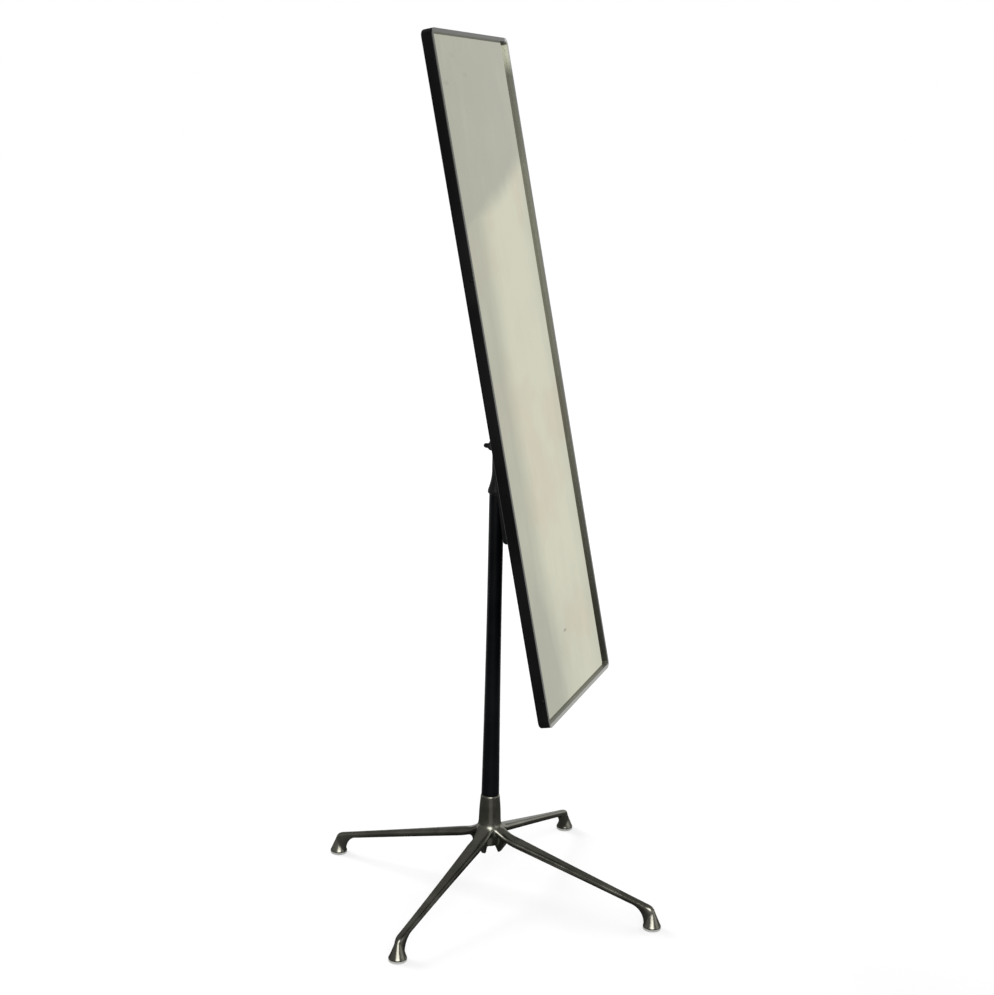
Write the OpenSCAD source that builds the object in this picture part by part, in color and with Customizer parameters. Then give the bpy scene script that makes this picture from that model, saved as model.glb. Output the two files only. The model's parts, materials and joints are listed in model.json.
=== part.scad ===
// Full-length tilting floor mirror on a slim column and a cast four-arm base.
// Millimetres, +Z up.  The origin is on the floor under the column's axis and the
// glass faces -Y.  The panel rests leaning back and the base rests a little turned,
// as the mirror was last left.

/* [Mirror panel] */
// Overall width of the panel
mirror_w = 404; // [320:1:600]
// Overall height of the panel, measured along the glass
mirror_h = 1242; // [900:1:1500]
// Thickness of the panel from the bezel's face to the back of the pan
panel_d = 22; // [20:0.5:36]
// Outer corner radius of the panel, in the plane of the glass
corner_r = 13; // [11:0.5:30]
// Bend radius where the pan's sides turn into its back
pan_bend_r = 4; // [2.5:0.5:6]
// Sheet thickness of the rear pan
pan_t = 1; // [0.8:0.1:1.6]
// Width of the bezel's front lip
bezel_lip = 7; // [6.5:0.1:14]
// Wall thickness of the bezel section
bezel_t = 1.5; // [1:0.1:1.6]
// Depth of the glass behind the bezel's face
glass_recess = 6; // [4:0.1:8]
// Depth of the bezel's outer leg, which carries the side screws
bezel_leg = 9; // [8:0.1:12]
// Thickness of the mirror glass
glass_t = 4; // [3:0.5:6]
// Thickness of the hardboard behind the glass
board_t = 3; // [2:0.5:4]
// Width of the foam strips that pack the board forward
foam_w = 34; // [20:1:60]
// Number of screws along each long side of the panel
side_screws = 4; // [2:1:8]
// Number of screws along the top and the bottom of the panel
end_screws = 2; // [2:1:4]
// Thread diameter of the small pan screws
pan_screw_d = 3; // [2.5:0.5:3.5]

/* [Tilt joint] */
// Lean of the panel behind vertical, as it rests
rest_tilt = 11.4; // [0:0.1:25]
// Distance from the tilt axis to the back of the panel
standoff = 59; // [50:0.5:80]
// Height of the panel's centre above the tilt axis, along the glass
panel_rise = 121; // [0:1:200]
// Diameter of the pivot bolt
bolt_d = 10; // [8:0.5:12]
// Radius of the yoke's eyes round the pivot bolt
eye_r = 11; // [10.5:0.5:16]
// Sheet thickness of the yoke
yoke_t = 3; // [2:0.5:4]
// Length of the yoke below the tilt axis
yoke_drop = 190; // [120:1:230]
// Length of the yoke above the tilt axis
yoke_rise = 34; // [24:1:50]
// How far the yoke's lower corner stands behind the tilt axis
yoke_heel = 15; // [0:1:24]
// Width of the mounting plate
plate_w = 100; // [84:1:160]
// Height of the mounting plate
plate_h = 264; // [250:1:330]
// Thickness of the mounting plate
plate_t = 3; // [2:0.5:5]
// Thickness of the nut plate inside the pan
nut_plate_t = 4; // [3:0.5:6]
// Thread diameter of the screws that hold the mounting plate
plate_screw_d = 6; // [5:0.5:8]
// Thickness of each friction washer
friction_t = 1.5; // [1:0.1:2.5]
// Length of the wings of the clamp nut, from the bolt's centre
wing_l = 17; // [14:0.5:24]

/* [Head and column] */
// Height of the tilt axis above the head's skirt
head_h = 96; // [80:1:130]
// Diameter of the head's neck
neck_d = 20; // [18:0.5:24]
// Diameter of the bead round the head's skirt
skirt_d = 34.5; // [32:0.5:40]
// Height of the trumpet between the skirt and the neck
skirt_h = 44; // [30:1:55]
// Diameter of the swivel spindle inside the column
spindle_d = 16; // [12:0.5:17]
// Length of the swivel spindle below the head
spindle_l = 150; // [110:1:155]
// Thickness of the thrust washer under the head
thrust_t = 1; // [0.8:0.1:2]
// Length of the column
column_l = 600; // [400:1:700]
// Outer diameter of the column over its upper stretch
column_d = 28.4; // [27:0.1:30]
// Outer diameter of the column at its foot
column_foot_d = 34.8; // [33:0.1:36]
// Wall thickness of the column
column_t = 2.2; // [1.6:0.1:2.6]
// Length of the column's upper stretch, above the flare
straight_l = 180; // [165:1:260]
// Length of each swivel bush
bush_l = 30; // [20:1:40]

/* [Star base] */
// Radius of the circle on which the feet stand
foot_circle_r = 350; // [280:1:420]
// Turn of the base about the column, as it rests
base_turn = -8.8; // [-45:0.1:45]
// Height of the hub's top face above the floor
hub_top = 200; // [190:1:230]
// Height of the hub's lower face above the floor
hub_bottom = 97; // [94:1:104]
// Diameter of the hub at its top
hub_top_d = 37.2; // [37:0.1:40]
// Diameter of the hub where the arms leave it
hub_base_d = 45; // [43:0.5:52]
// Diameter of the socket for the column's spigot
spigot_d = 28; // [24:0.5:29]
// Depth of that socket
spigot_l = 56; // [40:1:60]
// Height of an arm's top where it leaves the hub
arm_root_h = 125; // [118:1:134]
// Width of an arm at the hub
arm_root_w = 32; // [28:0.5:40]
// Depth of an arm at the hub
arm_root_t = 15.5; // [12:0.5:18]
// Width of an arm at its elbow
arm_tip_w = 15.5; // [14:0.5:20]
// Depth of an arm at its elbow
arm_tip_t = 12; // [9:0.5:14]
// Height of an arm's top over the foot's centre
elbow_h = 43; // [40:0.5:52]
// Outer radius of the elbow
elbow_r = 14; // [6:0.5:18]
// Radius of the fillet between the arm's underside and the foot
heel_r = 34; // [12:0.5:36]
// Lean of the foot's outer side from vertical
foot_lean = 23; // [10:1:30]
// Diameter of a foot's rim
foot_d = 35; // [30:0.5:42]
// Thickness of the web under an arm's root
web_t = 9; // [6:0.5:12]
// Depth of that web below the hub
web_drop = 14; // [8:0.5:20]
// Thickness of a glide pad
glide_t = 4; // [3:0.5:6]
// Diameter of a glide's stem
glide_stem_d = 8; // [6:0.5:10]
// Length of a glide's stem
glide_stem_l = 16; // [10:1:20]
// Thread diameter of the hub bolt
hub_bolt_d = 12; // [10:0.5:12]

/* [Hidden] */
$fn = 96;

// Fits and small allowances
eps = 0.01;
cut = 1;
fit = 0.05;
slip = 0.2;
swing_gap = 1.5;
glass_gap = 0.5;

// Heights on the column's axis
column_top = hub_top + column_l;
head_base = column_top + thrust_t;
pivot_h = head_base + head_h;

// The panel's own frame: x across, y back from the bezel's face, z up along the glass
// from the tilt axis
pivot_y = panel_d + standoff;
pan_inner_y = panel_d - pan_t;
glass_y = glass_recess;
board_y = glass_y + glass_t;
foam_y = board_y + board_t;
nut_plate_y = pan_inner_y - nut_plate_t;
plate_y = panel_d;
yoke_y = plate_y + plate_t;
panel_low = panel_rise - mirror_h / 2;
leg_inset = pan_t + slip;
glass_inset = leg_inset + bezel_t + glass_gap;
pack_inset = leg_inset + bezel_t + slip;
// The square corners of the packing stay inside the pan's rounded corners
foam_inset = corner_r - (corner_r - pan_bend_r) * cos(45) + slip;
foam_gap = 1;
pan_fn = 32;
screw_corner = 4 * corner_r;
pan_head_t = 0.8;

// Turned profile of the head
bead_r = 4;
bead_edge = 1.6;
bead_flat = 1;
bead_step = 0.6;
trumpet_curve = 1.9;
trumpet_rings = 12;
barrel_r = eye_r - 0.5;

// Yoke and pivot stack, measured across x
yoke_in = skirt_d / 2 + swing_gap;
yoke_out = yoke_in + yoke_t;
barrel_l = 2 * (yoke_in - friction_t);
washer_r = eye_r - 1;
washer_t = 2;
disc_spring_t = 2.4;
nut_face = yoke_out + washer_t + disc_spring_t;
nut_boss_l = 12;
nut_boss_r = bolt_d / 2 + 3.5;
nut_flange = 1;
nut_flange_l = 3;
wing_root_h = 10;
wing_tip_h = 9;
wing_t = 5;
wing_thinning = 1.5;
wing_fn = 32;
bolt_head_t = bolt_d * 0.6;
bolt_head_r = bolt_d * 0.85;
bolt_tail = 4;

// Screws of the mounting plate
plate_screw_x = plate_w / 2 - 13;
plate_screw_edge = 20;
plate_mid = (yoke_rise - yoke_drop) / 2;
plate_screw_rows = [-1, 0, 1];
plate_head_t = plate_screw_d * 0.66;
plate_head_r = plate_screw_d * 0.9;
plate_corner_r = 8;

// Column bore and bushes
bore_r = column_d / 2 - column_t;
flare_l = column_l - straight_l;
flare_curve = 1.6;
flare_rings = 20;
plug_l = 44;
plug_wall = 0.8;
plug_r = column_foot_d / 2 - column_t - plug_wall;
plug_short = 2;
spigot_gap = 1;
bolt_end = 10;
clip_groove = 1.2;
clip_lift = 3;
clip_play = 0.5;
clip_t = 1.2;
clip_opening = 4.8;
clip_r = bore_r - 0.6;
spindle_seat = 34;
lower_bush_top = head_base - spindle_l + clip_lift + clip_t + slip + clip_play + bush_l;

// Arm stations
root_r = 30;
arm_start = 15;
root_fillet_r = 52;
root_fillet_h = 26;
root_fillet_w = 3;
arm_taper = 1.5;
arm_squareness = 0.62;
neck_swell = 1.5;
arm_sides = 20;
arm_rings = 8;
bend_rings = 6;
foot_rings = 4;
foot_collar = 3;
arm_fall = atan((arm_root_h - elbow_h) / (foot_circle_r - root_r));
glide_inset = 0.6;
glide_bevel = 1;
stem_short = 1;
web_reach = 42;
web_nose = 7;
web_nose_l = 4;
web_lap = 8;
bolt_recess_r = hub_bolt_d / 2 + 8;
bolt_recess = 12;
bolt_play = 1;
hub_washer_t = 2.5;
spring_washer_t = 2;

// ---------------------------------------------------------------- general shapes

module rounded_rect(w, h, r) {
    union() {
        square([w - 2 * r, h], center = true);
        square([w, h - 2 * r], center = true);
        for (sx = [-1, 1], sy = [-1, 1])
            translate([sx * (w / 2 - r), sy * (h / 2 - r)])
                circle(r);
    }
}

// Slab of the panel's outline, drawn in by inset, from depth y0 to depth y1
module panel_slab(inset, y0, y1) {
    translate([0, y0, panel_rise])
        rotate([-90, 0, 0])
            linear_extrude(y1 - y0)
                rounded_rect(mirror_w - 2 * inset, mirror_h - 2 * inset,
                    max(corner_r - inset, 1));
}

// Places children that are drawn in the panel's own frame
module in_panel() {
    translate([0, 0, pivot_h])
        rotate([-rest_tilt, 0, 0])
            translate([0, -pivot_y, 0])
                children();
}

// Cylinder along x, from x0 to x1
module x_rod(r, x0, x1) {
    translate([x0, 0, 0])
        rotate([0, 90, 0])
            cylinder(r = r, h = x1 - x0);
}

module x_ring(r_out, r_in, x0, x1) {
    difference() {
        x_rod(r_out, x0, x1);
        x_rod(r_in, x0 - cut, x1 + cut);
    }
}

module ring(r_out, r_in, h) {
    difference() {
        cylinder(r = r_out, h = h);
        translate([0, 0, -cut])
            cylinder(r = r_in, h = h + 2 * cut);
    }
}

module on_pivot() {
    translate([0, 0, pivot_h])
        children();
}

// ---------------------------------------------------------------- star base

function signed_pow(v, e) = sign(v) * pow(abs(v), e);

// Ring between a point on the upper, outer side and one on the lower, inner side,
// each given as [radius, height]
function rib(outer, inner, half_w, e) = [
    for (k = [0 : arm_sides - 1])
        let (
            t = 360 * (k + 0.5) / arm_sides,
            across = half_w * signed_pow(cos(t), e),
            up = signed_pow(sin(t), e) / cos(180 / arm_sides),
            at = (outer + inner) / 2 + up * (outer - inner) / 2
        )
        [at[0], across, at[1]]
];

function arm_top(r) =
    arm_root_h - (r - root_r) * tan(arm_fall)
    + root_fillet_h * pow(max(0, (root_fillet_r - r) / root_fillet_r), 2);
function arm_share(r) = max(0, (r - root_r) / (foot_circle_r - root_r));
function arm_depth(r) = arm_root_t + (arm_tip_t - arm_root_t) * arm_share(r);
function arm_half_w(r) =
    (arm_tip_w + (arm_root_w - arm_tip_w) * pow(max(0, 1 - arm_share(r)), arm_taper)) / 2
    + root_fillet_w * pow(max(0, (root_fillet_r - r) / root_fillet_r), 2);

// The foot's sides start inside its rim, and the arm's outline meets them in two corners
rim_lip = 0.6;
rim_r = foot_d / 2 - rim_lip;
rim_h = glide_t + foot_collar - 1;
rim_out = foot_circle_r + rim_r;
rim_in = foot_circle_r - rim_r;
outer_h = (arm_root_h - (rim_out + rim_h * tan(foot_lean) - root_r) * tan(arm_fall))
    / (1 - tan(foot_lean) * tan(arm_fall));
outer_corner = [rim_out - (outer_h - rim_h) * tan(foot_lean), outer_h];
outer_turn = 90 - foot_lean - arm_fall;
inner_corner = [rim_in, arm_top(rim_in) - arm_depth(rim_in)];
inner_turn = 90 - arm_fall;

// Point at a share s of the rounding of a corner of radius r, from a line that falls at
// arm_fall into one that turns down by the given angle
function corner_point(corner, r, turn, s) =
    let (
        back = r * tan(turn / 2),
        start = corner + back * [-cos(arm_fall), sin(arm_fall)],
        centre = start - r * [sin(arm_fall), cos(arm_fall)],
        a = arm_fall + s * turn
    )
    centre + r * [sin(a), cos(a)];

outer_start = corner_point(outer_corner, elbow_r, outer_turn, 0);
outer_end = corner_point(outer_corner, elbow_r, outer_turn, 1);
inner_start = corner_point(inner_corner, heel_r, inner_turn, 0);
inner_end = corner_point(inner_corner, heel_r, inner_turn, 1);
neck_half_w = arm_tip_w / 2 + neck_swell;

function straight_rib(s) =
    let (
        r_out = arm_start + s * (outer_start[0] - arm_start),
        r_in = arm_start + s * (inner_start[0] - arm_start)
    )
    rib([r_out, arm_top(r_out)], [r_in, arm_top(r_in) - arm_depth(r_in)],
        arm_half_w(r_out), arm_squareness);

function bend_rib(s) =
    rib(corner_point(outer_corner, elbow_r, outer_turn, s),
        corner_point(inner_corner, heel_r, inner_turn, s),
        arm_tip_w / 2 + s * neck_swell, arm_squareness + (1 - arm_squareness) * s);

function foot_rib(s) =
    rib(outer_end + s * ([rim_out, rim_h] - outer_end),
        inner_end + s * ([rim_in, rim_h] - inner_end),
        neck_half_w + s * (rim_r - neck_half_w), 1);

// The arm runs straight, bends down at the elbow and flares into the foot
function arm_ribs() = concat(
    [for (i = [0 : arm_rings - 1]) straight_rib(i / arm_rings)],
    [for (i = [0 : bend_rings - 1]) bend_rib(i / bend_rings)],
    [for (i = [0 : foot_rings]) foot_rib(i / foot_rings)]
);

// Closes a stack of equal rings into one solid
module loft(rings) {
    n = len(rings[0]);
    m = len(rings);
    points = [for (one = rings) each one];
    sides = [
        for (i = [0 : m - 2], k = [0 : n - 1])
            let (a = i * n + k, b = i * n + (k + 1) % n)
            each [[a, b + n, b], [a, a + n, b + n]]
    ];
    first = [for (k = [1 : n - 2]) [0, k, k + 1]];
    last = [for (k = [1 : n - 2]) [(m - 1) * n, (m - 1) * n + k + 1, (m - 1) * n + k]];
    polyhedron(points = points, faces = concat(sides, first, last), convexity = 6);
}

module arm() {
    loft(arm_ribs());
    // Rim of the foot, above the glide
    translate([foot_circle_r, 0, glide_t])
        cylinder(d = foot_d, h = foot_collar);
    arm_web();
}

// Web under the root, deepest beside the hub
module arm_web() {
    low = hub_bottom - web_drop;
    wall_r = bolt_recess_r + cut;
    nose_r = bolt_recess_r + web_nose;
    rotate([90, 0, 0])
        linear_extrude(web_t, center = true)
            polygon([
                [wall_r, hub_bottom + web_lap],
                [wall_r, hub_bottom - 2 * cut],
                [nose_r, low],
                [nose_r + web_nose_l, low + cut],
                [web_reach, arm_top(web_reach) - arm_depth(web_reach) + cut],
                [nose_r, arm_top(web_reach)]
            ]);
}

hub_r = hub_base_d / 2;
hub_lip = 2;
hub_chin = 4;
hub_chin_h = 6;
hub_swell = 2;
hub_waist_h = 10;

// Turned body of the hub, fullest where the arms leave it
module hub_body() {
    rotate_extrude()
        polygon([
            [0, hub_bottom],
            [hub_r - hub_chin, hub_bottom],
            [hub_r, hub_bottom + hub_chin_h],
            [hub_r + hub_swell, arm_root_h],
            [hub_r + hub_swell / 2, arm_root_h + hub_waist_h],
            [hub_r - hub_swell / 4, arm_root_h + 2 * hub_waist_h],
            [hub_r - hub_swell / 2, arm_root_h + 4 * hub_waist_h],
            [hub_top_d / 2, hub_top - hub_lip],
            [hub_top_d / 2 - hub_lip / 2, hub_top],
            [0, hub_top]
        ]);
}

module star_base() {
    color("gainsboro")
        rotate([0, 0, base_turn])
            difference() {
                union() {
                    hub_body();
                    for (i = [0 : 3])
                        rotate([0, 0, 90 * i])
                            arm();
                }
                translate([0, 0, hub_top - spigot_l])
                    cylinder(d = spigot_d, h = spigot_l + cut);
                translate([0, 0, hub_bottom - web_drop - cut])
                    cylinder(d = hub_bolt_d + bolt_play, h = hub_top);
                translate([0, 0, hub_bottom - web_drop - cut])
                    cylinder(r = bolt_recess_r, h = web_drop + bolt_recess + cut);
                for (i = [0 : 3])
                    rotate([0, 0, 90 * i])
                        translate([foot_circle_r, 0, glide_t - cut])
                            cylinder(d = glide_stem_d, h = glide_stem_l + cut);
            }
}

// Pad with a bevelled lower edge and a stem that presses into the foot
module glide(turn) {
    pad_d = foot_d - 2 * glide_inset;
    color("silver")
        rotate([0, 0, base_turn + turn])
            translate([foot_circle_r, 0, 0])
                union() {
                    cylinder(d1 = pad_d - 2 * glide_bevel, d2 = pad_d, h = glide_bevel);
                    translate([0, 0, glide_bevel])
                        cylinder(d = pad_d, h = glide_t - glide_bevel);
                    cylinder(d = glide_stem_d, h = glide_t + glide_stem_l - stem_short);
                }
}

module glide_front() {
    glide(-90);
}

module glide_right() {
    glide(0);
}

module glide_back() {
    glide(90);
}

module glide_left() {
    glide(180);
}

// Underside of the hub's floor, where the bolt pulls up
bolt_seat = hub_bottom + bolt_recess;

module hub_washer() {
    color("silver")
        translate([0, 0, bolt_seat - hub_washer_t])
            ring(bolt_recess_r - bolt_play, hub_bolt_d / 2 + slip, hub_washer_t);
}

module hub_spring_washer() {
    color("dimgray")
        translate([0, 0, bolt_seat - hub_washer_t - spring_washer_t])
            ring(hub_bolt_d / 2 + 4, hub_bolt_d / 2 + slip, spring_washer_t);
}

module hub_bolt() {
    head_t = hub_bolt_d * 0.6;
    under_head = bolt_seat - hub_washer_t - spring_washer_t;
    color("silver")
        union() {
            translate([0, 0, under_head - head_t])
                cylinder(r = hub_bolt_d * 0.85, h = head_t, $fn = 6);
            translate([0, 0, under_head - eps])
                cylinder(d = hub_bolt_d, h = hub_top - under_head + plug_l / 2);
        }
}

// ---------------------------------------------------------------- column

// Outer radius of the column at a height above its foot
function column_r(h) =
    column_d / 2
    + (column_foot_d - column_d) / 2 * pow(max(0, (flare_l - h) / flare_l), flare_curve);

// Tube that flares towards its foot, where its wall is upset to hold the plug
module column_tube() {
    step = flare_l / flare_rings;
    outer = [
        for (i = [0 : flare_rings])
            [column_r(i * step), hub_top + i * step]
    ];
    inner = [
        for (i = [flare_rings : -1 : 0])
            [column_r(i * step) - column_t, hub_top + i * step]
    ];
    color("#101214")
        difference() {
            union() {
                rotate_extrude()
                    polygon(concat(
                        outer,
                        [[column_d / 2, column_top], [bore_r, column_top]],
                        inner
                    ));
                translate([0, 0, hub_top])
                    ring(column_foot_d / 2 - plug_wall, plug_r, plug_l);
            }
            translate([0, 0, hub_top - cut])
                cylinder(r = plug_r, h = plug_l + cut);
        }
}

// Turned plug in the column's foot, with the spigot that stands in the hub
module column_foot_plug() {
    color("gray")
        difference() {
            union() {
                translate([0, 0, hub_top - spigot_l + spigot_gap])
                    cylinder(d = spigot_d - 2 * fit, h = spigot_l - spigot_gap + eps);
                translate([0, 0, hub_top])
                    cylinder(r = plug_r, h = plug_l - plug_short);
            }
            translate([0, 0, hub_top - spigot_l])
                cylinder(d = hub_bolt_d, h = spigot_l + plug_l - bolt_end);
        }
}

module bush(top) {
    translate([0, 0, top - bush_l])
        ring(bore_r, spindle_d / 2 + fit, bush_l);
}

module upper_bush() {
    color("#121212")
        bush(column_top);
}

module lower_bush() {
    color("#121212")
        bush(lower_bush_top);
}

module thrust_washer() {
    color("#121212")
        translate([0, 0, column_top])
            ring(column_d / 2, spindle_d / 2 + slip, thrust_t);
}

// ---------------------------------------------------------------- swivelling head

// Radius of the trumpet at a share s of its height
function trumpet_r(s) =
    neck_d / 2 + (skirt_d - neck_d) / 2 * pow(1 - s, trumpet_curve) - bead_step * (1 - s);

// Head turned with a bead at its skirt, a trumpet-shaped neck and a cross barrel
module tilt_head() {
    bead_h = 2 * bead_r;
    curve = [
        for (i = [0 : trumpet_rings])
            let (s = i / trumpet_rings)
            [trumpet_r(s), bead_h + (skirt_h - bead_h) * s]
    ];
    color("#151719")
        difference() {
            union() {
                translate([0, 0, head_base])
                    rotate_extrude()
                        polygon(concat(
                            [[0, 0],
                                [skirt_d / 2 - bead_edge, 0],
                                [skirt_d / 2 - bead_edge / 3, bead_edge],
                                [skirt_d / 2, bead_r - bead_flat],
                                [skirt_d / 2, bead_r + bead_flat],
                                [skirt_d / 2 - bead_step / 2, bead_h - bead_edge]],
                            curve,
                            [[neck_d / 2, head_h - eye_r / 2], [0, head_h - eye_r / 2]]
                        ));
                on_pivot()
                    x_rod(barrel_r, -barrel_l / 2, barrel_l / 2);
            }
            on_pivot()
                x_rod(bolt_d / 2 + fit, -barrel_l, barrel_l);
            translate([0, 0, head_base - cut])
                cylinder(d = spindle_d, h = spindle_seat + cut);
        }
}

module swivel_spindle() {
    color("silver")
        difference() {
            translate([0, 0, head_base - spindle_l])
                cylinder(d = spindle_d, h = spindle_l + spindle_seat);
            translate([0, 0, head_base - spindle_l + clip_lift])
                ring(spindle_d, spindle_d / 2 - clip_groove, clip_t + slip);
        }
}

// Open retaining ring in the spindle's groove
module spindle_clip() {
    color("dimgray")
        difference() {
            translate([0, 0, head_base - spindle_l + clip_lift + slip / 2])
                ring(clip_r, spindle_d / 2 - clip_groove + slip / 2, clip_t);
            translate([0, -clip_opening / 2, head_base - spindle_l])
                cube([clip_r * 2, clip_opening, 2 * clip_lift + clip_t]);
        }
}

// ---------------------------------------------------------------- pivot stack

module pivot_bolt() {
    color("dimgray")
        on_pivot()
            rotate([-rest_tilt, 0, 0])
                union() {
                    x_rod(bolt_d / 2, -nut_face - nut_boss_l - bolt_tail, yoke_out + washer_t + eps);
                    translate([yoke_out + washer_t, 0, 0])
                        rotate([0, 90, 0])
                            cylinder(r = bolt_head_r, h = bolt_head_t, $fn = 6);
                }
}

module friction_washers() {
    color("saddlebrown")
        on_pivot()
            for (side = [-1, 1])
                x_ring(washer_r, bolt_d / 2 + slip,
                    side > 0 ? barrel_l / 2 : -yoke_in,
                    side > 0 ? yoke_in : -barrel_l / 2);
}

module bolt_head_washer() {
    color("silver")
        on_pivot()
            x_ring(washer_r, bolt_d / 2 + slip, yoke_out, yoke_out + washer_t);
}

module clamp_washer() {
    color("silver")
        on_pivot()
            x_ring(washer_r, bolt_d / 2 + slip, -yoke_out - washer_t, -yoke_out);
}

// Shallow coned spring between the washer and the clamp nut
module disc_spring() {
    rim = washer_r - 1;
    color("dimgray")
        on_pivot()
            translate([-yoke_out - washer_t, 0, 0])
                rotate([0, -90, 0])
                    rotate_extrude()
                        polygon([
                            [bolt_d / 2 + slip, disc_spring_t / 2],
                            [rim, 0],
                            [rim, disc_spring_t / 2],
                            [bolt_d / 2 + slip, disc_spring_t]
                        ]);
}

// One disc of a wing, lying across x at the distance at from the bolt
module wing_disc(at, d, thick) {
    translate([-thick / 2, at, 0])
        rotate([0, 90, 0])
            cylinder(d = d, h = thick, $fn = wing_fn);
}

// Flanged nut with two rounded wings
module wing_nut() {
    mid = nut_boss_l / 2;
    color("#1c1e20")
        on_pivot()
            translate([-nut_face - mid, 0, 0])
                difference() {
                    union() {
                        x_rod(nut_boss_r + nut_flange, mid - nut_flange_l, mid);
                        x_rod(nut_boss_r, -mid, mid);
                        for (side = [-1, 1])
                            hull() {
                                wing_disc(side * (nut_boss_r - 2), wing_root_h, wing_t);
                                wing_disc(side * (wing_l - wing_tip_h / 2), wing_tip_h,
                                    wing_t - wing_thinning);
                            }
                    }
                    x_rod(bolt_d / 2 + fit, -nut_boss_l, nut_boss_l);
                }
}

// ---------------------------------------------------------------- yoke and plates

// Outline of one cheek, in the panel's y and z
module cheek_outline() {
    heel_y = pivot_y + yoke_heel;
    toe_r = 6;
    eye_exit = 50;
    eye_entry = 15;
    lap_r = eye_r - 0.5;
    union() {
        translate([pivot_y, 0])
            circle(eye_r);
        polygon([
            [yoke_y, yoke_rise],
            [pivot_y - lap_r * sin(eye_entry), lap_r * cos(eye_entry)],
            [pivot_y + lap_r * cos(eye_exit), -lap_r * sin(eye_exit)],
            [heel_y, -yoke_drop + toe_r],
            [heel_y - toe_r, -yoke_drop + toe_r],
            [yoke_y, -yoke_drop + toe_r]
        ]);
        translate([heel_y - toe_r, -yoke_drop + toe_r])
            circle(toe_r);
        translate([yoke_y, -yoke_drop])
            square([heel_y - toe_r - yoke_y, 2 * toe_r]);
    }
}

module cheek(x0) {
    translate([x0, 0, 0])
        rotate([90, 0, 90])
            linear_extrude(yoke_t)
                cheek_outline();
}

// Folded channel with an eye in each cheek
module tilt_yoke() {
    color("#17191b")
        in_panel()
            difference() {
                union() {
                    cheek(yoke_in);
                    cheek(-yoke_out);
                    translate([-yoke_out, yoke_y, -yoke_drop])
                        cube([2 * yoke_out, yoke_t, yoke_drop + yoke_rise]);
                }
                translate([0, pivot_y, 0])
                    x_rod(bolt_d / 2 + fit, -2 * yoke_out, 2 * yoke_out);
            }
}

module plate_screw_places() {
    for (side = [-1, 1], row = plate_screw_rows)
        translate([side * plate_screw_x, 0, plate_mid + row * (plate_h / 2 - plate_screw_edge)])
            children();
}

module y_rod(r, y0, y1) {
    translate([0, y0, 0])
        rotate([-90, 0, 0])
            cylinder(r = r, h = y1 - y0);
}

module mounting_plate() {
    color("#17191b")
        in_panel()
            difference() {
                translate([0, plate_y, plate_mid])
                    rotate([-90, 0, 0])
                        linear_extrude(plate_t)
                            rounded_rect(plate_w, plate_h, plate_corner_r);
                plate_screw_places()
                    y_rod(plate_screw_d / 2 + slip, plate_y - cut, plate_y + plate_t + cut);
            }
}

module nut_plate() {
    color("gray")
        in_panel()
            difference() {
                translate([0, nut_plate_y, plate_mid])
                    rotate([-90, 0, 0])
                        linear_extrude(nut_plate_t)
                            rounded_rect(plate_w, plate_h, plate_corner_r);
                plate_screw_places()
                    y_rod(plate_screw_d / 2, nut_plate_y - cut, pan_inner_y + cut);
            }
}

module plate_screws() {
    color("dimgray")
        in_panel()
            plate_screw_places()
                union() {
                    y_rod(plate_screw_d / 2, nut_plate_y, plate_y + plate_t + eps);
                    translate([0, plate_y + plate_t, 0])
                        rotate([-90, 0, 0])
                            cylinder(r = plate_head_r, h = plate_head_t, $fn = 6);
                }
}

// ---------------------------------------------------------------- panel

// Solid with the panel's outline and a rounded edge at its back
module pan_form(inset, y0, y1, bend) {
    w = mirror_w - 2 * inset;
    h = mirror_h - 2 * inset;
    r = corner_r - inset;
    hull()
        for (side = [-1, 1], end = [-1, 1])
            translate([side * (w / 2 - r), y0, panel_rise + end * (h / 2 - r)])
                rotate([-90, 0, 0])
                    rotate_extrude($fn = pan_fn)
                        union() {
                            square([r, y1 - y0 - bend]);
                            square([r - bend, y1 - y0]);
                            intersection() {
                                translate([r - bend, y1 - y0 - bend])
                                    circle(bend, $fn = pan_fn);
                                square([r, y1 - y0]);
                            }
                        }
}

module rear_pan() {
    color("#1b1b1d")
        in_panel()
            difference() {
                pan_form(0, bezel_t, panel_d, pan_bend_r);
                pan_form(pan_t, bezel_t - cut, pan_inner_y, pan_bend_r - pan_t);
                plate_screw_places()
                    y_rod(plate_screw_d / 2 + slip, pan_inner_y - cut, panel_d + cut);
                pan_screw_places()
                    cylinder(d = pan_screw_d + 2 * fit, h = 3 * pan_t, center = true);
            }
}

// Places children at each side screw, with z pointing out of the panel's edge
module pan_screw_places() {
    screw_y = (bezel_t + bezel_leg) / 2;
    long_pitch = (mirror_h - 2 * screw_corner) / (side_screws - 1);
    end_pitch = (mirror_w - 2 * screw_corner) / (end_screws - 1);
    for (side = [-1, 1]) {
        for (i = [0 : side_screws - 1])
            translate([side * mirror_w / 2, screw_y,
                    panel_low + screw_corner + i * long_pitch])
                rotate([0, side * 90, 0])
                    children();
        for (i = [0 : end_screws - 1])
            translate([-mirror_w / 2 + screw_corner + i * end_pitch, screw_y,
                    panel_rise + side * mirror_h / 2])
                rotate([0, 90 - side * 90, 0])
                    children();
    }
}

module pan_screws() {
    color("#202020")
        in_panel()
            pan_screw_places()
                union() {
                    translate([0, 0, -leg_inset - bezel_t])
                        cylinder(d = pan_screw_d, h = leg_inset + bezel_t + eps);
                    cylinder(d1 = 2 * pan_screw_d, d2 = 1.4 * pan_screw_d, h = pan_head_t);
                }
}

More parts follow.
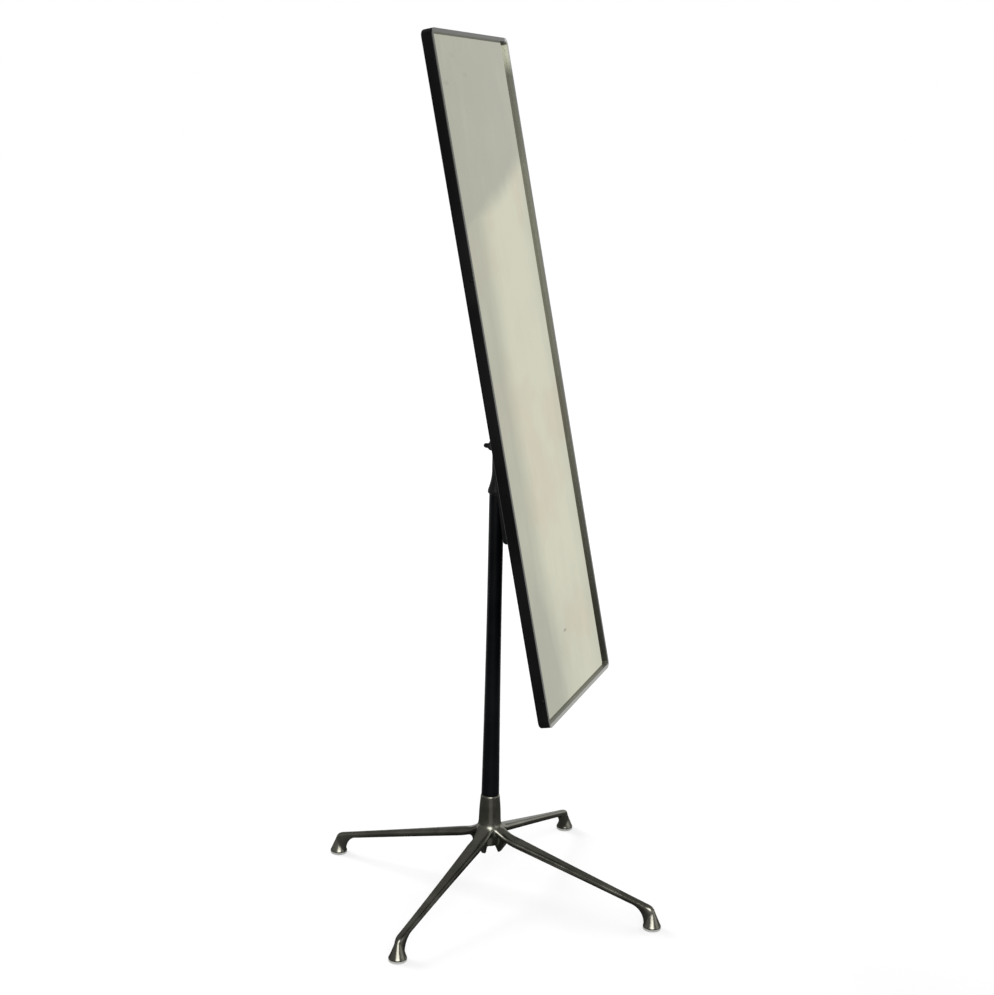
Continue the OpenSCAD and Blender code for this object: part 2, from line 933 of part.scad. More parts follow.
module foam_strips() {
    y_len = pan_inner_y - foam_y;
    y_mid = (pan_inner_y + foam_y) / 2;
    outer_w = mirror_w - 2 * foam_inset;
    outer_h = mirror_h - 2 * foam_inset;
    color("whitesmoke")
        in_panel()
            for (side = [-1, 1]) {
                translate([side * (outer_w - foam_w) / 2, y_mid, panel_rise])
                    cube([foam_w, y_len, outer_h], center = true);
                translate([0, y_mid, panel_rise + side * (outer_h - foam_w) / 2])
                    cube([outer_w - 2 * (foam_w + foam_gap), y_len, foam_w], center = true);
            }
}

module backing_board() {
    color("peru")
        in_panel()
            panel_slab(pack_inset, board_y, foam_y);
}

module mirror_glass() {
    color("lightsteelblue")
        in_panel()
            panel_slab(glass_inset, glass_y, board_y);
}

// Whole bezel section, before it is mitred into its four lengths
module bezel_ring() {
    difference() {
        union() {
            panel_slab(0, 0, bezel_t);
            panel_slab(leg_inset, bezel_t / 2, bezel_leg);
        }
        panel_slab(bezel_lip, -cut, bezel_leg + cut);
        pan_screw_places()
            cylinder(d = pan_screw_d, h = 2 * glass_inset, center = true);
        difference() {
            panel_slab(leg_inset + bezel_t, bezel_t, bezel_leg + cut);
            panel_slab(bezel_lip - bezel_t, 0, glass_y);
        }
    }
}

// One mitred length of the bezel: half is the distance from the panel's centre to its
// side, and other the distance to the sides at its ends
module bezel_length(turn, half, other) {
    deep = 2 * bezel_lip;
    over = bezel_lip;
    in_panel()
        intersection() {
            bezel_ring();
            translate([0, -cut, panel_rise])
                rotate([0, turn, 0])
                    rotate([-90, 0, 0])
                        linear_extrude(bezel_leg + 2 * cut)
                            polygon([
                                [half - deep, other - deep],
                                [half + over, other + over],
                                [half + over, -other - over],
                                [half - deep, deep - other]
                            ]);
        }
}

module bezel_right() {
    color("lightgray")
        bezel_length(0, mirror_w / 2, mirror_h / 2);
}

module bezel_left() {
    color("lightgray")
        bezel_length(180, mirror_w / 2, mirror_h / 2);
}

module bezel_top() {
    color("lightgray")
        bezel_length(-90, mirror_h / 2, mirror_w / 2);
}

module bezel_bottom() {
    color("lightgray")
        bezel_length(90, mirror_h / 2, mirror_w / 2);
}

star_base();
glide_front();
glide_right();
glide_back();
glide_left();
hub_bolt();
hub_spring_washer();
hub_washer();
column_foot_plug();
column_tube();
thrust_washer();
upper_bush();
lower_bush();
tilt_head();
swivel_spindle();
spindle_clip();
pivot_bolt();
friction_washers();
bolt_head_washer();
clamp_washer();
disc_spring();
wing_nut();
tilt_yoke();
mounting_plate();
plate_screws();
nut_plate();
rear_pan();
foam_strips();
backing_board();
mirror_glass();
bezel_top();
bezel_bottom();
bezel_left();
bezel_right();
pan_screws();
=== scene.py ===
"""Full-length tilting floor mirror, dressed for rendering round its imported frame.

Metres, +Z up.  The origin is on the floor under the column's axis, the mirror's width
runs along X and the glass faces -Y.  Sizes are held in millimetres and scaled once.
"""

from __future__ import annotations

import json
import logging
import math
from dataclasses import dataclass
from enum import Enum
from functools import reduce

import bmesh
import bpy
import numpy as np
from bpy.types import ID, Material, Mesh, Node, NodeSocket, NodeTree, Object
from mathutils import Matrix, Vector

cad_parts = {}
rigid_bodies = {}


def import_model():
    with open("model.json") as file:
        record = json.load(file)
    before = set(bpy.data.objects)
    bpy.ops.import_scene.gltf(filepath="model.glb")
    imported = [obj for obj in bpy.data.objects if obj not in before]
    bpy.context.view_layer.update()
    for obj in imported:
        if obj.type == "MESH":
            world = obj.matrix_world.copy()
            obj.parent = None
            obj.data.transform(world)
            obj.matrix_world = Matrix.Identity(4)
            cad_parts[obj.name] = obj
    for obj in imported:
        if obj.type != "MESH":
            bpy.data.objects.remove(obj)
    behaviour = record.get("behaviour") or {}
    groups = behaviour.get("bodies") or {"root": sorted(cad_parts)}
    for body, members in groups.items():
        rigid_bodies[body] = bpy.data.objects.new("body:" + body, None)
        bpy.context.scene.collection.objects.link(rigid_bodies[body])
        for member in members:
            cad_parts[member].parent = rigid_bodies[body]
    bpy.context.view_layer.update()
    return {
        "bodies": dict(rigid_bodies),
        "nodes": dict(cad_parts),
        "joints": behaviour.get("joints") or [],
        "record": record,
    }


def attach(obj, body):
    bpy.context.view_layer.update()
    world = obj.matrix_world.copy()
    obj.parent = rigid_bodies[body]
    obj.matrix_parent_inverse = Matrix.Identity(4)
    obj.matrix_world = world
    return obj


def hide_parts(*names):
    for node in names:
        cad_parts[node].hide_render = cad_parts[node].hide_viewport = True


LOG = logging.getLogger("floor_mirror")
MM = 0.001
Span = tuple[float, float]
RGB = tuple[float, float, float]
Point = tuple[float, float, float]
Inputs = dict[str | int, object]

# Heights and angles of the whole mirror, in millimetres and degrees
HUB_TOP = 200.0
COLUMN_TOP = 800.0
HEAD_BASE = 801.0
PIVOT_H = 897.0
REST_TILT = 11.4
BASE_TURN = -8.8


# ------------------------------------------------------------------ surfaces


def shift(x: float = 0.0, y: float = 0.0, z: float = 0.0) -> Matrix:
    """Transform that moves by a distance along each axis."""
    return Matrix.Translation((x, y, z))


def turn(degrees: float, axis: str) -> Matrix:
    """Transform that turns about an axis through the origin."""
    return Matrix.Rotation(math.radians(degrees), 4, axis)


def even_ramp(value: np.ndarray, start: float, full: float) -> np.ndarray:
    """Share 0..1 of the way from start to full: (value - start) / (full - start)."""
    return np.clip((value - start) / (full - start), 0, 1)


def grid_faces(rows: int, cols: int, wrap: bool) -> np.ndarray:
    """Quads between neighbouring points of a grid, row by row.

    Args:
        rows: number of rings or profile points.
        cols: number of points in each row, which closes on itself.
        wrap: whether the last row joins the first.

    Returns:
        An (n, 4) array of point numbers.
    """
    starts = np.arange(rows if wrap else rows - 1)
    i, j = np.meshgrid(starts, np.arange(cols), indexing="ij")
    below, beside = (i + 1) % rows, (j + 1) % cols
    corners = [i * cols + j, below * cols + j, below * cols + beside, i * cols + beside]
    return np.stack(corners, -1).reshape(-1, 4)


def rounded(points: list[Span], reach: list[float] | float, closed: bool = False,
            steps: int = 7) -> np.ndarray:
    """Polyline whose corners are eased by quadratic curves.

    Each corner C becomes (1-t)^2 A + 2t(1-t) C + t^2 B, where A and B lie on its two
    sides at the given reach from C.

    Args:
        points: corners in order.
        reach: one reach for all corners, or one for each.
        closed: whether the last corner joins the first.
        steps: points on each eased corner.

    Returns:
        An (n, 2) array of points.
    """
    c = np.array(points, float)
    r = np.broadcast_to(np.array(reach, float), (len(c),)).copy()
    if not closed:
        r[[0, -1]] = 0.0
    to_a, to_b = np.roll(c, 1, 0) - c, np.roll(c, -1, 0) - c
    unit_a = to_a / np.maximum(np.linalg.norm(to_a, axis=1, keepdims=True), 1e-9)
    unit_b = to_b / np.maximum(np.linalg.norm(to_b, axis=1, keepdims=True), 1e-9)
    a, b = c + unit_a * r[:, None], c + unit_b * r[:, None]
    t = np.linspace(0, 1, steps)[None, :, None]
    curve = (1 - t) ** 2 * a[:, None] + 2 * t * (1 - t) * c[:, None] + t ** 2 * b[:, None]
    return curve.reshape(-1, 2)


@dataclass
class Shell:
    """Points and faces of one closed surface, in millimetres."""

    points: np.ndarray
    faces: list

    @classmethod
    def loft(cls, rings: np.ndarray, wrap: bool = False) -> Shell:
        """Skin over equal rings, with a flat cap on each end unless the ends join.

        Args:
            rings: (rows, cols, 3) points.
            wrap: whether the last ring joins the first.

        Returns:
            The closed shell.
        """
        rows, cols = rings.shape[:2]
        faces = grid_faces(rows, cols, wrap).tolist()
        if not wrap:
            faces.append(list(range(cols)))
            faces.append(list(range((rows - 1) * cols, rows * cols))[::-1])
        return cls(rings.reshape(-1, 3), faces)

    @classmethod
    def turned(cls, profile: np.ndarray, sides: int = 96, wrap: bool = False) -> Shell:
        """Surface of revolution about +Z: (r cos a, r sin a, z) for each profile point.

        Args:
            profile: (n, 2) radius and height.
            sides: points round the axis.
            wrap: whether the profile is a closed ring, as for a bush or washer.

        Returns:
            The closed shell.
        """
        a = np.linspace(0, 2 * np.pi, sides, endpoint=False)
        r, z = profile[:, :1], profile[:, 1:]
        height = np.broadcast_to(z, (len(r), sides))
        return cls.loft(np.stack([r * np.cos(a), r * np.sin(a), height], -1), wrap)

    def moved(self, matrix: Matrix) -> Shell:
        """The same shell after a 4x4 transform in millimetres."""
        m = np.array(matrix)
        return Shell(self.points @ m[:3, :3].T + m[:3, 3], self.faces)

    def joined(self, *others: Shell) -> Shell:
        """This shell and others as one set of points and faces.

        Args:
            others: shells to add.

        Returns:
            The joined shell.
        """
        points, faces = [self.points], list(self.faces)
        start = len(self.points)
        for other in others:
            points.append(other.points)
            faces += [[start + k for k in face] for face in other.faces]
            start += len(other.points)
        return Shell(np.concatenate(points), faces)

    def mesh(self, name: str, smooth_deg: float = 32.0) -> Mesh:
        """Blender mesh of the shell in metres, with merged poles and outward faces.

        Args:
            name: name of the mesh.
            smooth_deg: edges sharper than this stay crisp.

        Returns:
            The mesh.
        """
        made = bpy.data.meshes.new(name)
        made.from_pydata((self.points * MM).tolist(), [], self.faces)
        tidy_mesh(made, smooth_deg)
        return made


def tidy_mesh(mesh: Mesh, smooth_deg: float, merge: float = 2e-6,
              flatten: bool = False) -> None:
    """Merges doubles, turns faces outwards and shades by angle.

    Args:
        mesh: mesh to tidy in place.
        smooth_deg: edges sharper than this stay crisp.
        merge: distance under which points become one.
        flatten: whether flat neighbours are joined into one face.
    """
    work = bmesh.new()
    work.from_mesh(mesh)
    bmesh.ops.remove_doubles(work, verts=work.verts, dist=merge)
    bmesh.ops.dissolve_degenerate(work, edges=work.edges, dist=merge)
    if flatten:
        bmesh.ops.dissolve_limit(work, angle_limit=math.radians(0.4), verts=work.verts,
                                 edges=work.edges)
    bmesh.ops.recalc_face_normals(work, faces=work.faces)
    work.to_mesh(mesh)
    work.free()
    mesh.shade_smooth()
    mesh.set_sharp_from_angle(angle=math.radians(smooth_deg))


def applied(obj: Object) -> None:
    """Replaces an object's mesh by its evaluated one and drops the modifiers.

    Args:
        obj: object to change in place.
    """
    graph = bpy.context.evaluated_depsgraph_get()
    graph.update()
    result = bpy.data.meshes.new_from_object(obj.evaluated_get(graph))
    obj.modifiers.clear()
    obj.data = result


def add_object(name: str, data: ID) -> Object:
    """New object at the origin.

    Args:
        name: name of the object.
        data: mesh, lamp or camera that it shows.

    Returns:
        The object.
    """
    obj = bpy.data.objects.new(name, data)
    bpy.context.scene.collection.objects.link(obj)
    return obj


def fused(name: str, shell: Shell, voxel_mm: float, rounds: int) -> Object:
    """One cast skin over overlapping shells, with its inner corners eased.

    Args:
        name: name of the object.
        shell: overlapping closed shells.
        voxel_mm: size of the skin's faces.
        rounds: how often the skin is smoothed.

    Returns:
        The object, with plain mesh and no modifiers.
    """
    obj = add_object(name, shell.mesh(name))
    remesh = obj.modifiers.new("skin", "REMESH")
    remesh.mode = "VOXEL"
    remesh.voxel_size = voxel_mm * MM
    ease = obj.modifiers.new("ease", "SMOOTH")
    ease.factor = 0.5
    ease.iterations = rounds
    applied(obj)
    obj.data.shade_smooth()
    return obj


def softened(name: str, node: Object, width_mm: float) -> Object:
    """Copy of a CAD node with its sharp edges broken by a small bevel.

    Args:
        name: name of the new object.
        node: CAD node to copy.
        width_mm: width of the bevel.

    Returns:
        The new object.
    """
    sharp_deg = 30.0
    mesh = node.data.copy()
    mesh.name = name
    tidy_mesh(mesh, sharp_deg, merge=1e-5, flatten=True)
    obj = add_object(name, mesh)
    bevel = obj.modifiers.new("broken_edges", "BEVEL")
    bevel.width = width_mm * MM
    bevel.segments = 2
    bevel.limit_method = "ANGLE"
    bevel.angle_limit = math.radians(sharp_deg)
    bevel.harden_normals = True
    applied(obj)
    return obj


# ------------------------------------------------------------------ finishes


def feed(node: Node, inputs: Inputs) -> None:
    """Links a node's inputs to fields, and sets those given as numbers or colours.

    Args:
        node: the node.
        inputs: number, colour or field for each named or numbered input.
    """
    for key, value in inputs.items():
        if isinstance(value, Field):
            node.id_data.links.new(value.socket, node.inputs[key])
        else:
            node.inputs[key].default_value = value


def new_node(tree: NodeTree, kind: str, inputs: Inputs | None = None,
             **settings: object) -> Node:
    """New shader node.

    Args:
        tree: its node tree.
        kind: its type.
        inputs: number, colour or field for each named or numbered input.
        settings: its properties.

    Returns:
        The node.
    """
    node = tree.nodes.new(kind)
    for key, value in settings.items():
        setattr(node, key, value)
    feed(node, inputs or {})
    return node


def outputs_of(node: Node) -> dict[str, Field]:
    """A node's outputs by name."""
    return {socket.name: Field(socket) for socket in node.outputs}


@dataclass(frozen=True)
class Field:
    """Number, colour or place that varies over a surface, with its arithmetic."""

    socket: NodeSocket

    def through(self, kind: str, inputs: Inputs, output: str | int = 0,
                **settings: object) -> Field:
        """One output of a new node in this field's tree.

        Args:
            kind: type of the node.
            inputs: number, colour or field for each named or numbered input.
            output: name or number of the output.
            settings: properties of the node.

        Returns:
            The output.
        """
        node = new_node(self.socket.id_data, kind, inputs, **settings)
        return Field(node.outputs[output])

    def grouped(self, name: str, inputs: Inputs) -> dict[str, Field]:
        """Shared group, placed in this field's tree.

        Args:
            name: name of the group.
            inputs: number, colour or field for each of its inputs.

        Returns:
            Its outputs by name.
        """
        node = new_node(self.socket.id_data, "ShaderNodeGroup", inputs,
                        node_tree=shared_group(name))
        return outputs_of(node)

    def worked(self, operation: str, other: Field | float = 0.0,
               clamp: bool = False) -> Field:
        """Result of a Math node on this number and another."""
        return self.through("ShaderNodeMath", {0: self, 1: other}, operation=operation,
                            use_clamp=clamp)

    def __add__(self, other: Field | float) -> Field:
        """Sum."""
        return self.worked("ADD", other)

    def __sub__(self, other: Field | float) -> Field:
        """Difference."""
        return self.worked("SUBTRACT", other)

    def __mul__(self, other: Field | float) -> Field:
        """Product."""
        return self.worked("MULTIPLY", other)

    def __truediv__(self, other: Field | float) -> Field:
        """Quotient."""
        return self.worked("DIVIDE", other)

    def most(self, other: Field) -> Field:
        """Greater of two numbers."""
        return self.worked("MAXIMUM", other)

    def eased(self, low: Field | float, high: Field | float) -> Field:
        """Share 0..1 of the way from low to high, eased at both ends.

        Args:
            low: where the share is 0.
            high: where the share is 1, above or below low.

        Returns:
            The share.
        """
        return self.through("ShaderNodeMapRange",
                            {"Value": self, "From Min": low, "From Max": high}, "Result",
                            interpolation_type="SMOOTHSTEP")

    def between(self, low: Field | float, high: Field | float) -> Field:
        """Number between low and high, by this share."""
        return self.through("ShaderNodeMix", {"Factor": self, 2: low, 3: high},
                            data_type="FLOAT")

    def tint(self, low: Field | RGB, high: Field | RGB) -> Field:
        """Colour between two others, by this share.

        Args:
            low: colour where the share is 0.
            high: colour where the share is 1.

        Returns:
            The colour.
        """
        a, b = (end if isinstance(end, Field) else (*end, 1.0) for end in (low, high))
        return self.through("ShaderNodeMix", {"Factor": self, 6: a, 7: b}, 2,
                            data_type="RGBA")

    def noise(self, scale: Field | float, octaves: float = 4.0,
              rough: float = 0.55) -> Field:
        """Fractal noise 0..1 at this place.

        Args:
            scale: lumps to the metre.
            octaves: how many finer noises are added.
            rough: strength of the finer octaves.

        Returns:
            The noise.
        """
        return self.through("ShaderNodeTexNoise",
                            {"Vector": self, "Scale": scale, "Detail": octaves,
                             "Roughness": rough}, "Fac")

    def axis(self, name: str) -> Field:
        """Reach of this place along X, Y or Z."""
        return self.through("ShaderNodeSeparateXYZ", {0: self}, name)

    def towards(self, way: Span) -> Field:
        """Reach of this place along a level direction: x wx + y wy."""
        return self.axis("X") * way[0] + self.axis("Y") * way[1]


def new_group(name: str, takes: dict[str, tuple[str, object]], gives: dict[str, str]
              ) -> tuple[NodeTree, dict[str, Field], Node]:
    """Empty shader group with named sockets.

    Args:
        name: name of the group.
        takes: socket kind and default for each input.
        gives: socket kind for each output.

    Returns:
        The tree, its inputs by name and its output node.
    """
    tree = bpy.data.node_groups.new(name, "ShaderNodeTree")
    for key, (kind, value) in takes.items():
        socket = tree.interface.new_socket(name=key, in_out="INPUT", socket_type=kind)
        socket.default_value = value
    for key, kind in gives.items():
        tree.interface.new_socket(name=key, in_out="OUTPUT", socket_type=kind)
    given = outputs_of(new_node(tree, "NodeGroupInput"))
    return tree, given, new_node(tree, "NodeGroupOutput")


FLOAT, COLOUR, VECTOR = "NodeSocketFloat", "NodeSocketColor", "NodeSocketVector"


def worn_group() -> NodeTree:
    """Group that varies a finish: cloudy patches, fine grain, hairline scratches.

    Returns:
        The group, with outputs Patch, Grain, Scratch and Height.
    """
    tree, takes, gives = new_group(
        "worn_finish",
        {"Vector": (VECTOR, (0, 0, 0)), "Patch Scale": (FLOAT, 14.0),
         "Grain Scale": (FLOAT, 900.0), "Scratch Level": (FLOAT, 0.66)},
        {"Patch": FLOAT, "Grain": FLOAT, "Scratch": FLOAT, "Height": FLOAT})
    place = takes["Vector"]
    grain = place.noise(takes["Grain Scale"], 3.0, 0.6)
    lines = place.through("ShaderNodeTexWave",
                          {"Vector": place, "Scale": 40.0, "Distortion": 38.0,
                           "Detail": 4.0, "Detail Scale": 3.0}, "Fac",
                          bands_direction="DIAGONAL").eased(0.985, 1.0)
    scratch = lines * place.noise(30.0, 2.0).eased(takes["Scratch Level"], 0.78)
    feed(gives, {"Patch": place.noise(takes["Patch Scale"], 5.0).eased(0.36, 0.66),
                 "Grain": grain, "Scratch": scratch, "Height": grain - scratch * 1.2})
    return tree


def dust_group() -> NodeTree:
    """Group that settles pale dust on faces that look upwards.

    Returns:
        The group, with output Mask.
    """
    tree, takes, gives = new_group(
        "settled_dust", {"Vector": (VECTOR, (0, 0, 0)), "Amount": (FLOAT, 0.2)},
        {"Mask": FLOAT})
    normal = outputs_of(new_node(tree, "ShaderNodeNewGeometry"))["Normal"]
    cloud = takes["Vector"].noise(70.0, 6.0).eased(0.3, 0.75)
    feed(gives, {"Mask": normal.axis("Z").eased(0.35, 0.95) * cloud * takes["Amount"]})
    return tree


def fade_group() -> NodeTree:
    """Group that scales a colour by a tone along a position, as painted light and shade.

    Returns:
        The group, with output Colour.
    """
    tree, takes, gives = new_group(
        "tone_fade",
        {"Colour": (COLOUR, (1, 1, 1, 1)), "Position": (FLOAT, 0.0), "Start": (FLOAT, 0.0),
         "End": (FLOAT, 1.0), "Tone": (FLOAT, 1.0)}, {"Colour": COLOUR})
    share = takes["Position"].eased(takes["Start"], takes["End"])
    feed(gives, {"Colour": share.through(
        "ShaderNodeVectorMath",
        {0: takes["Colour"], "Scale": share.between(1.0, takes["Tone"])},
        operation="SCALE")})
    return tree


def shared_group(name: str) -> NodeTree:
    """Shared group, built the first time it is asked for.

    Args:
        name: name of the group.

    Returns:
        The group.
    """
    makers = {"worn_finish": worn_group, "settled_dust": dust_group,
              "tone_fade": fade_group}
    return bpy.data.node_groups.get(name) or makers[name]()


def new_material(name: str) -> tuple[Material, Node, Field]:
    """New material.

    Args:
        name: its name.

    Returns:
        The material, its shader and its Object coordinates.
    """
    material = bpy.data.materials.new(name)
    material.use_nodes = True
    tree = material.node_tree
    place = outputs_of(new_node(tree, "ShaderNodeTexCoord"))["Object"]
    return material, tree.nodes["Principled BSDF"], place


@dataclass(frozen=True)
class LightFade:
    """Painted light and shade along an axis: unchanged at the start, scaled at the end."""

    axis: str
    start: float
    end: float
    tone: float

    def over(self, colour: Field, place: Field) -> Field:
        """Lays the painted light over a colour.

        Args:
            colour: colour to scale.
            place: Object coordinates.

        Returns:
            The faded colour.
        """
        return colour.grouped("tone_fade", {
            "Colour": colour, "Position": place.axis(self.axis), "Start": self.start,
            "End": self.end, "Tone": self.tone})["Colour"]


# How settled dust looks: its colour, and how much roughness it adds
DUST_TONE = (0.42, 0.41, 0.38)
DUST_ROUGH = 0.5


@dataclass(frozen=True)
class Finish:
    """One procedural finish: two tones, a roughness range, and fine relief.

    grain_share is how much of the tone follows the grain, and the patches have the
    rest.  grain_stretch draws the fine grain out along an axis, as brushing does, and
    grain_turn leans it with the panel.
    """

    slot: str
    dark: RGB
    light: RGB
    metallic: float = 0.0
    rough: Span = (0.35, 0.5)
    patch_scale: float = 14.0
    grain_scale: float = 900.0
    grain_stretch: Point = (1.0, 1.0, 1.0)
    grain_turn: float = 0.0
    grain_share: float = 0.25
    relief: float = 0.6
    relief_mm: float = 0.02
    scratch_level: float = 0.66
    scratch_tone: RGB = (0.25, 0.25, 0.24)
    dust: float = 0.15
    specular: float = 0.5
    edge_tint: float = 1.0
    # Painted light and shade laid along an axis, as on the bezel's rails
    light_fades: tuple[LightFade, ...] = ()

    def make(self, name: str) -> Material:
        """Builds the material.

        Args:
            name: name of the material.

        Returns:
            The material.
        """
        material, shader, place = new_material(name)
        drawn = place.through("ShaderNodeMapping", {
            "Vector": place, "Rotation": (math.radians(self.grain_turn), 0, 0),
            "Scale": self.grain_stretch})
        worn = place.grouped("worn_finish", {
            "Vector": drawn, "Patch Scale": self.patch_scale,
            "Grain Scale": self.grain_scale, "Scratch Level": self.scratch_level})
        dust = place.grouped("settled_dust", {"Vector": place, "Amount": self.dust})["Mask"]
        tone = worn["Patch"] * (1.0 - self.grain_share) + worn["Grain"] * self.grain_share
        colour = tone.tint(self.dark, self.light)
        # Painted light and shade: lighter or darker along the axes given
        for fade in self.light_fades:
            colour = fade.over(colour, place)
        colour = worn["Scratch"].tint(colour, self.scratch_tone)
        smooth, dull = self.rough
        rough = tone * (dull - smooth) + smooth
        feed(shader, {
            "Base Color": dust.tint(colour, DUST_TONE),
            "Roughness": rough.worked("ADD", dust * DUST_ROUGH, clamp=True),
            "Normal": place.through("ShaderNodeBump", {
                "Strength": self.relief, "Distance": self.relief_mm * MM,
                "Height": worn["Height"]}, "Normal"),
            "Metallic": self.metallic, "Specular IOR Level": self.specular,
            "Specular Tint": (*[self.edge_tint] * 3, 1.0)})
        return material


@dataclass(frozen=True)
class Silvering:
    """Finish of the mirror glass: a silver coat that has yellowed with age, with painted
    reflection in its colour.

    The painted reflection, of darker parts of the room and of painted shade along the
    rails, lies over the upper quarter down to a slanting, wavering edge, along both
    sides and at the foot.  Faint upright streaks and soft patches run through it.  Each
    span is where a part of the painted reflection starts and where it is full, and each
    noise has a scale, octaves and the strength of the finer ones.  Each blemish, where
    the silver has gone, is an ellipse at X and Z with two half axes, in metres, and a
    strength.
    """

    slot: str = "silvered_glass"
    clear: RGB = (0.575, 0.575, 0.430)
    warm: RGB = (0.565, 0.525, 0.385)
    # Darker tone where the painted reflection is full
    painted_reflection_tone: RGB = (0.355, 0.36, 0.275)
    spot: RGB = (0.13, 0.14, 0.09)
    upper: Span = (1.362, 1.416)
    slope: float = -0.30
    waver: float = 0.08
    right: Span = (0.10, 0.195)
    right_level: float = 0.34
    left: Span = (-0.03, -0.135)
    left_level: float = 0.76
    foot: Span = (0.72, 0.48)
    foot_level: float = 0.15
    corner: Span = (0.08, -0.12)
    corner_level: float = 0.45
    streak_shape: Point = (1.0, 1.0, 0.08)
    uneven: float = 0.34
    blush: Span = (0.48, 0.66)
    cloud_noise: Point = (3.6, 4.0, 0.5)
    streak_noise: Point = (34.0, 3.0, 0.55)
    patch_noise: Point = (11.0, 4.0, 0.6)
    blush_noise: Point = (6.0, 3.0, 0.5)
    edge_noise: Point = (260.0, 3.0, 0.55)
    ragged: float = 0.9
    verge: Span = (1.8, 1.0)
    rough: float = 0.015
    reflection_rough: float = 0.03
    spot_rough: float = 0.3
    blemishes: tuple[tuple[float, float, float, float, float], ...] = (
        (-0.0136, 0.5534, 0.0090, 0.0028, 0.55), (-0.1045, 1.5978, 0.0110, 0.0050, 0.10),
        (-0.0542, 1.5654, 0.0120, 0.0045, 0.10), (-0.1587, 1.5491, 0.0130, 0.0040, 0.16))

    def painted_reflection(self, place: Field) -> Field:
        """Painted reflection 0..1 over the glass, from its height, its sides and soft
        noise.

        Args:
            place: Object coordinates.

        Returns:
            The painted reflection.
        """
        x, z = place.axis("X"), place.axis("Z")
        slant = z + x * self.slope + place.noise(*self.cloud_noise) * self.waver
        sides = (x.eased(*self.left) * self.left_level).most(
            x.eased(*self.right) * self.right_level)
        foot = z.eased(*self.foot)
        drawn = place.through("ShaderNodeMapping",
                              {"Vector": place, "Scale": self.streak_shape})
        total = slant.eased(*self.upper).most(sides)
        for part, level in ((foot, self.foot_level),
                            (foot * x.eased(*self.corner), self.corner_level),
                            (drawn.noise(*self.streak_noise) - 0.5, self.uneven),
                            (place.noise(*self.patch_noise) - 0.5, self.uneven)):
            total = total.worked("ADD", part * level, clamp=True)
        return total

    def marks(self, place: Field) -> Field:
        """Strength 0..1 of the blemishes: 1 inside each ragged ellipse, 0 outside.

        The reach from each middle is sqrt((x / wide)^2 + (z / tall)^2).

        Args:
            place: Object coordinates.

        Returns:
            The strongest blemish at each place.
        """
        x, z = place.axis("X"), place.axis("Z")
        ragged = place.noise(*self.edge_noise) * self.ragged
        found = []
        for middle_x, middle_z, wide, tall, strength in self.blemishes:
            across, along = (x - middle_x) / wide, (z - middle_z) / tall
            reach = (across * across + along * along).worked("SQRT")
            found.append((reach + ragged).eased(*self.verge) * strength)
        return reduce(Field.most, found)

    def make(self, name: str) -> Material:
        """Builds the material.

        Args:
            name: name of the material.

        Returns:
            The material.
        """
        material, shader, place = new_material(name)
        painted_reflection, spots = self.painted_reflection(place), self.marks(place)
        blush = place.noise(*self.blush_noise).eased(*self.blush)
        # Painted reflection: darkens the silver's colour towards its own tone
        colour = painted_reflection.tint(blush.tint(self.clear, self.warm), self.painted_reflection_tone)
        feed(shader, {
            "Base Color": spots.tint(colour, self.spot), "Metallic": 1.0,
            "Roughness": painted_reflection * self.reflection_rough + spots * self.spot_rough + self.rough})
        return material


# Brushing drawn out along the upright rails and along the level ones
UPRIGHT = (1.0, 1.0, 0.02)
LEVEL = (0.02, 1.0, 1.0)


def brushed(dark: RGB, light: RGB, grain: Point, patch_scale: float,
            metallic: float = 0.7, light_fades: tuple[LightFade, ...] = ()) -> Finish:
    """Brushed finish of one rail of the bezel, its tones set as that rail's painted light.

    Args:
        dark: darkest tone.
        light: lightest tone.
        grain: how the grain is drawn out.
        patch_scale: patches to the metre.
        metallic: share of the metal's own reflection.
        light_fades: painted highlights and painted shade along the rail.

    Returns:
        The finish.
    """
    return Finish("bezel_metal", dark, light, metallic, (0.26, 0.40), patch_scale, 1500.0,
                  grain, -REST_TILT, relief_mm=0.010, dust=0.03, light_fades=light_fades)


